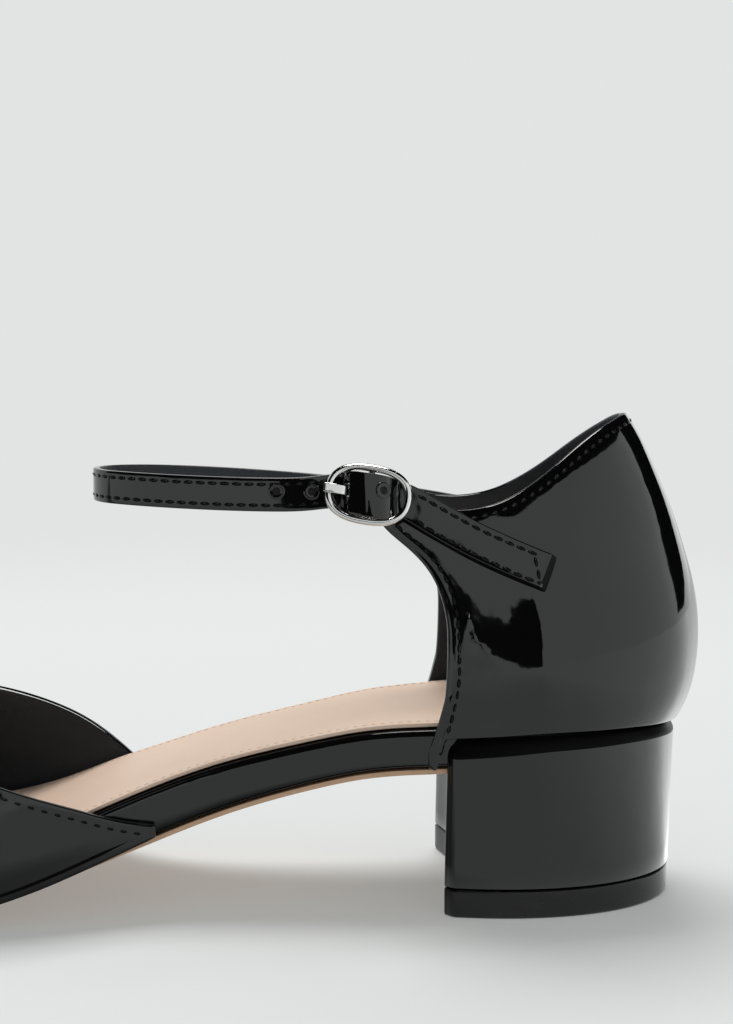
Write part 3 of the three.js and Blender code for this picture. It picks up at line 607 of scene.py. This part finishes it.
def draw_in(piece, row, depth, reach):
    """Bends a piece in beside its edge, as folding and sewing does, least at the back."""
    at_back, full_from = 0.25, 13 * MM
    distance = away_from_row([spot for spot, _ in row])
    for vertex in piece.data.vertices:
        near = max(0.0, 1 - distance(vertex.co) / (reach * MM))
        if near:
            aside = min(1.0, at_back + abs(vertex.co.y) / full_from)
            inward = (quarter_axis(vertex.co) - vertex.co).normalized()
            vertex.co += inward * depth * MM * near ** 2 * aside


def ease(piece, rows, low, high, passes):
    """Evens out the leather's outer side between two distances behind its front edges."""
    lowest, sideways = 40 * MM, 0.4
    distance = away_from_row([spot for row in rows for spot, _ in row])
    bm = bmesh.new()
    bm.from_mesh(piece.data)
    bm.normal_update()
    picked = [v for v in bm.verts if low * MM < distance(v.co) < high * MM and v.co.z > lowest
              and v.normal.y * v.co.y > sideways * abs(v.co.y)]
    for _ in range(passes):
        bmesh.ops.smooth_vert(bm, verts=picked, factor=0.5, use_axis_y=True)
    bm.to_mesh(piece.data)
    bm.free()


def make_quarter():
    """The quarter, with its collar drawn in a little. Gives its surface back."""
    piece = leather_copy("upper_quarter", "quarter_leather", 0.5, quarter_axis, away_from_step)
    settle(piece)
    skin = surface_of(piece)
    ease(piece, [front_edge(skin, OUTER), front_edge(skin, INNER)], low=0.8, high=19, passes=220)
    draw_in(piece, collar_edge(surface_of(piece)), depth=1.25, reach=7.5)
    return surface_of(piece)


def make_vamp():
    """The vamp. Its foot is drawn down over the outsole's edge in front of the waist.
    Gives its surface back."""
    bm = quads_of("upper_vamp")
    line_inside(bm, vamp_axis)
    for vertex in bm.verts:
        foot = on_line(SOLE_EDGE, -vertex.co.x / MM)
        if vertex.co.z < (foot + DRAWN_BAND) * MM:
            share = min(1, max(0, (DRAWN_FROM - vertex.co.x / MM) / DRAWN_RUN))
            lower = vertex.co.z - DRAWN_DEPTH * MM * share
            vertex.co.z = min(vertex.co.z, max(DRAWN_LEAST * MM, lower))
    round_edges(bm, 0.5)
    piece = finish_mesh("vamp_leather", bm, [PATENT, LINING], ("upper_vamp",), SMOOTH)
    return surface_of(piece)


def collar_edge(tree):
    """The quarter's top line, from its outer tip round the back to its inner tip."""
    def ray_at(degrees):
        turn = math.radians(degrees)
        outward = Vector((math.cos(turn), math.sin(turn), 0))

        def ray(share):
            level = (106 - 48 * share) * MM
            start = Vector((QUARTER_AXIS.x, 0, level)) + outward * 60 * MM
            return start, -outward, 60 * MM
        return ray
    return edge_row(tree, [ray_at(degrees) for degrees in spread(-141, 141, 140)])


def front_edge(tree, side):
    """The quarter's front edge on one side, from its tip down to the rim."""
    def ray_at(level):
        def ray(share):
            start = Vector((45 + 40 * share, side * 60, level)) * MM
            return start, Vector((0, -side, 0)), 55 * MM
        return ray
    return edge_row(tree, [ray_at(level) for level in spread(82, 33.5, 60)])


def ahead_at(degrees):
    """A level direction, 0 towards the toe and 90 towards the inner side."""
    turn = math.radians(degrees)
    return Vector((-math.cos(turn), math.sin(turn), 0))


def wing_edge(tree):
    """The vamp's top line, from the outer wing's end round the throat to the inner wing's end."""
    def ray_at(base, outward):
        def ray(share):
            turn = math.radians(88 - 84 * share)
            heading = outward * math.cos(turn) + Vector((0, 0, math.sin(turn)))
            return base + heading * 90 * MM, -heading, 89 * MM
        return ray
    wings = {side: [ray_at(Vector((x * MM, 0, FAN.z)), Vector((0, side, 0)))
                    for x in spread(6.5, -50.5, 44)[:-1]] for side in (OUTER, INNER)}
    toe = [ray_at(FAN, ahead_at(degrees)) for degrees in spread(-90, 90, 40)]
    return edge_row(tree, wings[OUTER] + toe + wings[INNER][::-1])


def foot_edge(tree, side):
    """The vamp's lower edge on one side, from the toe to the wing's end."""
    def ray_at(x):
        def ray(share):
            return Vector((x, side * 60, -3 + 24 * share)) * MM, Vector((0, -side, 0)), 58 * MM
        return ray
    return edge_row(tree, [ray_at(x) for x in spread(-112, 4, 90)])


def make_foot_line(side):
    """A dark cord along the vamp's foot: painted shade of the crease where the leather turns over the board.
    """
    bm = bmesh.new()
    row = inset_row(VAMP_SKIN, foot_edge(VAMP_SKIN, side), 2.0)
    # Painted shade: a thin black cord draws the crease's dark line.
    sweep(bm, cord_rings(row, 0.36))
    finish_mesh("foot_crease_shade_outer" if side == OUTER else "foot_crease_shade_inner", bm, [EDGE])


QUARTER_SKIN = make_quarter()
VAMP_SKIN = make_vamp()
sew("collar_stitches", [inset_row(QUARTER_SKIN, collar_edge(QUARTER_SKIN), 2.2)],
    2.2, (1.5, 0.5, 0.34), pit_shade=0.4)
sew("front_edge_stitches",
    [inset_row(QUARTER_SKIN, front_edge(QUARTER_SKIN, side), 2.4) for side in (OUTER, INNER)],
    2.45, (1.6, 0.5, 0.34), pit_shade=0.4)
sew("vamp_stitches", [inset_row(VAMP_SKIN, wing_edge(VAMP_SKIN), 1.9)], 2.8, (1.2, 0.42, 0.3), pit_shade=0.25)

make_foot_line(OUTER)
make_foot_line(INNER)


# Sole

def low_edge(edge):
    """True for an edge between a side and an underside."""
    return min(face.normal.z for face in edge.link_faces) < -0.6


def make_rim():
    """The covered rim, rounder at its foot than on top."""
    bm = quads_of("sole_board")
    bm.normal_update()
    round_edges(bm, 1.3, chosen=low_edge)
    finish_mesh("covered_rim", bm, [PATENT], ("sole_board",), SMOOTH)


def make_insole():
    """The insole. Gives its surface back."""
    bm = quads_of("insole")
    round_edges(bm, 0.3)
    return surface_of(finish_mesh("insole_sock", bm, [INSOLE], ("insole",), SMOOTH))


def make_outsole():
    bm = quads_of("outsole")
    round_edges(bm, 0.2)
    finish_mesh("outsole_sheet", bm, [OUTSOLE], ("outsole",), SMOOTH)


def insole_edge(tree, side):
    """The insole's edge on one side, seen from above."""
    above = 90

    def ray_at(x):
        def ray(share):
            start = Vector((x, side * (46 - 40 * share), above)) * MM
            return start, Vector((0, 0, -1)), above * MM
        return ray
    return edge_row(tree, [ray_at(x) for x in spread(112, -112, 150)])


make_rim()
make_outsole()
SOCK_SKIN = make_insole()
sew("insole_stitches", [inset_row(SOCK_SKIN, insole_edge(SOCK_SKIN, side), 1.7) for side in (OUTER, INNER)],
    1.9, (1.2, 0.32, 0.2), thread=TAN_THREAD)


# Heel

# The rings of the covered heel's side and of its crown, whose faces are painted dull black as the seam's
# shade:
# (height, inset), where height 0 and 1 are the two outlines that are read and 2 is the top, and inset is in
# mm
HEEL_SIDE = ((0.0, 0.5), (0.004, 0.2), (0.014, 0), (0.3, 0), (0.6, 0), (0.9, 0), (1.3, 0), (1.6, 0),
             (1.72, 0))
HEEL_CROWN = ((1.75, 0), (1.78, 0.04), (1.84, 0.3), (1.92, 0.9), (2.0, 1.6), (2.0, 3.8))
HEEL_TOP = 2.0

# The crown's rings above this height are raised towards the back, by up to this share of what is left to
# the top, growing between these two distances behind the middle, in mm
CROWN_FROM = 1.7
CROWN_RAISE = 0.36
CROWN_RUN = (72, 116)

# The cut for the sole at the breast: how far back and how wide it is, and its level, in mm
BREAST_BACK = 71.8
BREAST_SIDES = (-24, 23.4)
BREAST_LEVEL = 29.2

TREAD_RINGS = ((0.0, 0.7), (0.02, 0.25), (0.07, 0.05), (0.12, 0), (0.5, 0), (0.93, 0), (0.98, 0.08),
               (1.0, 0.3))


def heel_outline(node, low, high):
    """The corners of a CAD solid between two levels, in order round the heel."""
    inside, doubled = 10 * MM, 0.05 * MM
    spots = [v.co.copy() for v in NODES[node].data.vertices if low * MM < v.co.z < high * MM]
    ordered = sorted(spots, key=lambda p: math.atan2(p.y - HEEL_MIDDLE.y, p.x - HEEL_MIDDLE.x))
    kept = []
    for spot in ordered:
        if (spot - HEEL_MIDDLE).xy.length > inside and (not kept or (spot - kept[-1]).length > doubled):
            kept.append(spot)
    return kept


def smooth_ring(corners, between=4):
    """More spots between the corners of a closed outline, on a smooth curve through them."""
    ring = []
    count = len(corners)
    for i in range(count):
        p0, p1, p2, p3 = (corners[(i + k - 1) % count] for k in range(4))
        for step in range(between):
            t = step / between
            ring.append(0.5 * (2 * p1 + (p2 - p0) * t + (2 * p0 - 5 * p1 + 4 * p2 - p3) * t * t
                               + (3 * p1 - p0 - 3 * p2 + p3) * t * t * t))
    return ring


def ring_at(low, high, share, inset=0.0):
    """An outline of the heel between two levels (0 and 1), or beyond them, pulled in by an inset."""
    ring = []
    for a, b in zip(low, high):
        spot = a.lerp(b, share)
        inward = Vector((HEEL_MIDDLE.x - spot.x, -spot.y, 0)).normalized()
        ring.append(spot + inward * inset * MM)
    return smooth_ring(ring)


def make_heel_block():
    """The covered heel, with a soft edge at its foot and its top cut for the sole at the breast.
    Its crown, over its top edge, is painted dull black: painted shade of the seam."""
    low = heel_outline("heel_block", 6, 7)
    middle = heel_outline("heel_block", 20, 25)
    top = ring_at(low, middle, HEEL_TOP)
    foot = low[0].z
    front, back = (x * MM for x in CROWN_RUN)
    breast_from, breast_to = (y * MM for y in BREAST_SIDES)
    rings = []
    for share, inset in HEEL_SIDE + HEEL_CROWN:
        ring = ring_at(low, middle, share, inset)
        if CROWN_FROM < share < HEEL_TOP:
            higher = ring_at(low, middle, share + (HEEL_TOP - share) * CROWN_RAISE, inset)
            ring = [a.lerp(b, min(1, max(0, (a.x - front) / (back - front)))) for a, b in zip(ring, higher)]
        for spot, above in zip(ring, top):
            if above.x < BREAST_BACK * MM and breast_from < above.y < breast_to:
                spot.z = foot + (BREAST_LEVEL * MM - foot) * (spot.z - foot) / (above.z - foot)
        rings.append(ring)
    bm = bmesh.new()
    made = sweep(bm, rings)
    # Painted shade: the crown's faces take the dull edge paint for the seam's shadow.
    shaded = {vertex for ring in made[len(HEEL_SIDE):] for vertex in ring}
    for face in bm.faces:
        if all(vertex in shaded for vertex in face.verts):
            face.material_index = 1
    finish_mesh("heel_covered", bm, [PATENT, EDGE], ("heel_block",))


def make_top_piece():
    low = heel_outline("heel_top_piece", -0.1, 0.1)
    high = heel_outline("heel_top_piece", 5.8, 6)
    bm = bmesh.new()
    sweep(bm, [ring_at(low, high, share, inset) for share, inset in TREAD_RINGS])
    finish_mesh("heel_tread", bm, [RUBBER], ("heel_top_piece",))


make_heel_block()
make_top_piece()


# Strap and buckle

# The buckle's bar, the middles of the strap's bends in front and at the back, and the level of the strap's
# middle at the buckle, in mm
BAR_X = 52.9
LOOP_X = 12
LOOP_BACK_X = 70
BUCKLE_LEVEL = 88.3

# The strap in the buckle: how much fuller it is, over how far to each side
SQUEEZE = 0.27
SQUEEZE_REACH = 6.5

# The tail: where it starts, how far its inner side hangs below, and the slant of its end, in mm
TAIL_FROM = 62
TAIL_HANG = 0.6
END_REACH = 3.2
END_SLANT = Vector((1.4, 0, -0.55)) * MM

# The punched holes: (distance behind the middle, level) in mm, and rings of (radius, height)
HOLES = ((34.0, 88.4), (41.3, 88.4), (56.0, 88.9))
HOLE_RINGS = ((1.75, -0.02), (1.6, 0.1), (1.42, 0.15), (1.15, 0.1), (0.85, 0.05), (0.75, 0.05), (0.1, 0.04))
# The radius of the dark disc in the ring's middle: painted shade for the hole, in mm
HOLE_RADIUS = 0.83
HOLE_SIDES = 32


def strap_axis(spot):
    return Vector((min(max(spot.x, LOOP_X * MM), LOOP_BACK_X * MM), 0, spot.z))


def make_strap():
    """The strap, a little fuller where it is squeezed through the buckle, with its tail's end slanted
    and the tail's foot and end in dull edge paint, partly real edge paint and partly painted shade. Gives
    its surface back."""
    bm = quads_of("ankle_strap")
    middle = BUCKLE_LEVEL * MM
    for vertex in bm.verts:
        beside = abs(vertex.co.x - (BAR_X - 0.5) * MM) / (SQUEEZE_REACH * MM)
        if vertex.co.y < 0 and beside < 1:
            vertex.co.z = middle + (vertex.co.z - middle) * (1 + SQUEEZE * (1 - beside ** 4))
    line_inside(bm, strap_axis)
    bm.normal_update()
    end = max(vertex.co.x for vertex in bm.verts if vertex.co.y < 0)
    slid = [vertex for vertex in bm.verts
            if vertex.co.y < 0 and vertex.co.x > TAIL_FROM * MM and vertex.normal.y > 0]
    for vertex in slid:
        if vertex.normal.z < -0.2:
            vertex.co.z -= TAIL_HANG * MM
        if vertex.co.x > end - END_REACH * MM and vertex.normal.x > 0.2:
            vertex.co += END_SLANT
    bm.normal_update()
    round_edges(bm, 0.3)
    bm.normal_update()
    # Edge paint on the tail's downward faces and end: real edge paint, and also painted shade for the dark
    # band beneath.
    for face in bm.faces:
        at = face.calc_center_median()
        if at.y < 0 and at.x > (TAIL_FROM - 2) * MM and (face.normal.z < -0.4 or face.normal.x > 0.45):
            face.material_index = 2
    materials = [PATENT, LINING, EDGE]
    return surface_of(finish_mesh("strap_leather", bm, materials, ("ankle_strap",), SMOOTH))


def strap_rays(from_level, to_level):
    """Rays along the whole strap, from its tail round the front to its start, moving between two levels."""
    def ray_at(base, outward):
        def ray(share):
            start = base + outward * 50 * MM
            start.z = (from_level + (to_level - from_level) * share) * MM
            return start, -outward, 49 * MM
        return ray
    outer = [ray_at(Vector((x * MM, 0, 0)), Vector((0, -1, 0))) for x in spread(88, 12, 90)[:-1]]
    front = [ray_at(Vector((LOOP_X * MM, 0, 0)), ahead_at(degrees)) for degrees in spread(-90, 90, 40)]
    inner = [ray_at(Vector((x * MM, 0, 0)), Vector((0, 1, 0))) for x in spread(13, 60, 60)[:-1]]
    return outer + front + inner


def clear_of_buckle(row):
    """The parts of a row behind and in front of the buckle."""
    tail = [spot for spot in row if spot[0].x > (BAR_X + 9.5) * MM and spot[0].y < 0]
    ahead = [spot for spot in row if spot[0].x < (BAR_X - 7) * MM or spot[0].y > 0]
    return [tail, ahead]


def strap_spot(tree, x, level):
    """A spot on the strap's outer side, and its normal."""
    spot, normal, _, _ = tree.ray_cast(Vector((x, -60, level)) * MM, Vector((0, 1, 0)), 55 * MM)
    return spot, normal


def make_punched_hole(name, spot, normal):
    """A pressed ring round a small hole, closed by a dark disc of painted shade where the hole's inside
    would be.
    """
    side = normal.cross(Vector((0, 0, 1))).normalized()
    up = side.cross(normal).normalized()
    turns = [2 * math.pi * j / HOLE_SIDES for j in range(HOLE_SIDES)]
    bm = bmesh.new()
    rings = [[spot + (side * math.cos(turn) + up * math.sin(turn)) * radius * MM + normal * height * MM
              for turn in turns] for radius, height in HOLE_RINGS]
    made = sweep(bm, rings, ends=False)
    bm.faces.new(made[-1])
    for face in bm.faces:
        if (face.calc_center_median() - spot).length < HOLE_RADIUS * MM:
            face.material_index = 1
    finish_mesh(name, bm, [PATENT, HOLE_SHADE])


def make_metal(node, name, fuller, sharp):
    """A piece of the buckle, swollen by fuller mm. Edges sharper than sharp degrees are rounded, unless
    it is 0."""
    bm = quads_of(node)
    bm.normal_update()
    moves = [(vertex, vertex.normal * fuller * MM) for vertex in bm.verts]
    for vertex, move in moves:
        vertex.co += move
    if sharp:
        round_edges(bm, 0.18, sharp)
    finish_mesh(name, bm, [CHROME], (node,), SMOOTH)


STRAP_SKIN = make_strap()
STRAP_ROWS = [inset_row(STRAP_SKIN, edge_row(STRAP_SKIN, strap_rays(*levels)), 1.35)
              for levels in ((100, 62), (62, 100))]
TAIL_TOP, TAIL_FOOT = (row[1] for row in STRAP_ROWS)
TAIL_END = [(STRAP_SKIN.find_nearest(TAIL_TOP[0].lerp(TAIL_FOOT[0], share))[0], TAIL_TOP[1])
            for share in (0.08, 0.3, 0.5, 0.7, 0.92)]
sew("strap_stitches", [part for row in STRAP_ROWS for part in clear_of_buckle(row)] + [TAIL_END],
    2.6, (1.8, 0.48, 0.32), pit_shade=0.35)
for number, (x, level) in enumerate(HOLES):
    make_punched_hole(f"strap_hole_{number + 1}", *strap_spot(STRAP_SKIN, x, level))
make_metal("buckle_frame", "buckle_wire", 0.06, 0)
make_metal("buckle_prong", "buckle_pin", 0.0, 50)
leather_copy("buckle_tab", "buckle_loop", 0.15)


# Studio

# What the cards' turn and rise are measured from
STUDIO_MIDDLE = Vector((0.07, 0, 0.07))

# How bright the studio is round the heel, in shares: (turn from the camera towards the heel, brightness)
ROUND = ((-180, 1), (0, 1), (30, 1), (62, 1.15), (84, 1.4), (98, 1.85), (112, 2.5), (127, 2.9), (145, 2.5),
         (158, 1.8), (166, 1), (180, 1))
FLOOR_ROUND = ((-180, 1), (0, 1), (30, 1.05), (62, 1.3), (84, 1.7), (98, 2.3), (112, 3.5), (127, 2.7),
               (140, 1.7), (156, 1), (180, 1))
BRIGHTEST = 4.0

# The outline of the dark card beside the shoe's heel: (rise, turn from, turn to)
RIGHT_CARD = ((1.5, 96, 108), (4, 96, 114), (7, 96, 124), (12, 95, 140), (20, 94, 150), (30, 93, 155),
              (60, 93, 156))

# The ragged upper edge of the dark card round the camera: (turn, rise)
RAGGED = ((-16, 8), (-13, 9.5), (-11, 9), (-8, 10), (-6, 10.5), (-3.5, 12.5), (-1, 14), (1.5, 13), (3.5, 9),
          (4.2, 5))


def stage_mesh(name, bm, material):
    """A thing of the studio, which isn't part of the shoe."""
    mesh = bpy.data.meshes.new(name)
    bm.to_mesh(mesh)
    bm.free()
    mesh.materials.append(material)
    mesh.shade_smooth()
    thing = bpy.data.objects.new(name, mesh)
    bpy.context.scene.collection.objects.link(thing)
    return thing


def make_floor():
    """A pale paper floor that melts into the backdrop away from the shoe."""
    bm = bmesh.new()
    bmesh.ops.create_circle(bm, cap_ends=True, segments=96, radius=9.0)
    stage_mesh("floor", bm, floor_material())


def dark_card_material():
    shader = Shader("dark_card")
    weave = shader.noise(0.02, 2.0)
    colour = shader.mix(weave, (0.001, 0.001, 0.001), (0.003, 0.003, 0.003))
    return shader.set(base_color=colour, roughness=1.0, specular_ior_level=0.0)


def studio_glow(name, floor=False):
    """Light from the studio's walls, or from its floor, as the gloss sees it. The floor's is weaker in
    front of the heel and in the shoe's shadow."""
    shader = Shader(name)
    spot = shader.node("ShaderNodeTexCoord", output="Object")
    x = shader.node("ShaderNodeSeparateXYZ", inputs={0: spot}, output="X")
    y = shader.node("ShaderNodeSeparateXYZ", inputs={0: spot}, output="Y")
    turn = shader.node("ShaderNodeMath", {"operation": "ARCTAN2"}, {0: x - HEEL_MIDDLE.x, 1: y * -1.0})
    stops = [((at + 180) / 360, (value / BRIGHTEST,) * 3) for at, value in (FLOOR_ROUND if floor else ROUND)]
    bright = shader.node("ShaderNodeValToRGB", {"stops": stops}, {"Fac": turn * (0.5 / math.pi) + 0.5})
    strength = shader.node("ShaderNodeRGBToBW", inputs={0: bright}) * BRIGHTEST
    if floor:
        away = shader.node("ShaderNodeVectorMath", {"operation": "LENGTH"}, {0: spot}, "Value")
        ahead = shader.ramp(x, 0.12, 0.24) + shader.ramp(y, -0.03, 0.1) + shader.ramp(away, 0.3, 0.9)
        strength = strength * shader.ramp(ahead, 0.0, 1.0, 0.75, 1.0)
        beside = shader.node("ShaderNodeMath", {"operation": "ABSOLUTE"}, {0: y + 0.014})
        under = shader.ramp(beside, 0.02, 0.062) + shader.ramp(x, 0.03, 0.08)
        strength = strength * shader.ramp(under, 0.0, 1.0, 0.22, 1.0)
    brightest = tuple(BRIGHTEST * part for part in BACKDROP)
    return shader.shine(shader.mix(strength * (1 / BRIGHTEST), (0, 0, 0), brightest))


def backdrop_material():
    """The even backdrop behind the shoe, as the camera sees it."""
    return Shader("backdrop").shine(BACKDROP)


def panel_material():
    """A bright strip of light."""
    shader = Shader("light_panel")
    cloth = shader.noise(0.01, 2.0)
    return shader.shine(shader.mix(cloth, (0.9, 0.89, 0.87), (1.0, 0.99, 0.97)), 12.5)


def gloss_only(thing, camera=False):
    """Lets only the shoe's gloss see a card, and the camera if wished."""
    thing.visible_camera = camera
    thing.visible_diffuse = False
    thing.visible_shadow = False
    return thing


def card(name, outline, reach, material, camera=False):
    """A card round the shoe, seen only in its gloss. outline is a list of rows of
    (turn, rise) in degrees: turn 0 is towards the camera, 90 towards the heel."""
    bm = bmesh.new()
    rows = []
    for row in outline:
        made = []
        for turn, rise in row:
            a, b = math.radians(turn), math.radians(rise)
            heading = Vector((math.sin(a) * math.cos(b), -math.cos(a) * math.cos(b), math.sin(b)))
            made.append(bm.verts.new(STUDIO_MIDDLE + heading * reach))
        rows.append(made)
    for low, high in zip(rows, rows[1:]):
        for j in range(len(low) - 1):
            bm.faces.new((low[j], low[j + 1], high[j + 1], high[j]))
    return gloss_only(stage_mesh(name, bm, material), camera)


def band(turn_from, turn_to, rise_from, rise_to, across=12, up=8):
    """The rows of a card between two turns and two rises."""
    return [[(turn, rise) for turn in spread(turn_from, turn_to, across)]
            for rise in spread(rise_from, rise_to, up)]


def make_cards():
    """The dark sides of the studio, which draw the black bands along the shoe's edges, and its lights."""
    dark = dark_card_material()
    card("card_left", band(-96, -6.5, 1.5, 62), 2.2, dark)
    card("card_above", band(-180, 180, 38, 74, 36, 8), 2.3, dark)
    right = [[(turn, rise) for turn in spread(low, high, 8)] for rise, low, high in RIGHT_CARD]
    card("card_right", right, 2.1, dark)
    card("card_camera", [[(turn, -3) for turn, _ in RAGGED], RAGGED], 0.5, dark)
    card("card_near", band(-19, -5, -5.5, 9, 6, 3), 0.51, dark)
    card("panel_above", band(-180, 180, 75, 90, 36, 3), 2.2, panel_material())
    card("studio_walls", band(-180, 180, -0.9, 60, 96, 6), 8.0, studio_glow("studio_walls"))
    backdrop = card("backdrop", band(-180, 180, -0.9, 88, 96, 8), 8.4, backdrop_material(), True)
    backdrop.visible_glossy = False
    bm = bmesh.new()
    just_above = Matrix.Translation((0, 0, 0.2 * MM))
    bmesh.ops.create_circle(bm, cap_ends=True, segments=64, radius=7.9, matrix=just_above)
    gloss_only(stage_mesh("floor_gleam", bm, studio_glow("floor_gleam", floor=True)))


def make_softbox(name, place_at, aim, size, power):
    data = bpy.data.lights.new(name, "AREA")
    data.shape = "RECTANGLE"
    data.size, data.size_y = size
    data.energy = power
    lamp = bpy.data.objects.new(name, data)
    lamp.location = place_at
    lamp.rotation_euler = (Vector(aim) - Vector(place_at)).to_track_quat("-Z", "Y").to_euler()
    lamp.visible_camera = False
    bpy.context.scene.collection.objects.link(lamp)
    return lamp


def make_world():
    """Even light from all sides, half as bright as the backdrop."""
    world = bpy.data.worlds.new("studio")
    bpy.context.scene.world = world
    world.use_nodes = True
    back = world.node_tree.nodes["Background"]
    back.inputs["Color"].default_value = (*BACKDROP, 1)
    back.inputs["Strength"].default_value = 0.5


def make_camera():
    """The photograph's camera."""
    data = bpy.data.cameras.new("camera")
    data.lens = CAMERA_LENS
    data.sensor_width = SENSOR
    data.clip_start = 0.01
    camera = bpy.data.objects.new("camera", data)
    camera.location = CAMERA_AT
    camera.rotation_euler = (math.pi / 2 - CAMERA_PITCH, 0, 0)
    bpy.context.scene.collection.objects.link(camera)
    bpy.context.scene.camera = camera


make_floor()
make_cards()
make_world()
make_camera()
TOP_LIGHT = make_softbox("top_light", (-0.5, 1.9, 4.2), (0.0, 0.0, 0.0), (3.0, 2.4), 180.0)
TOP_LIGHT.visible_glossy = False
bpy.context.scene.view_settings.view_transform = "Standard"
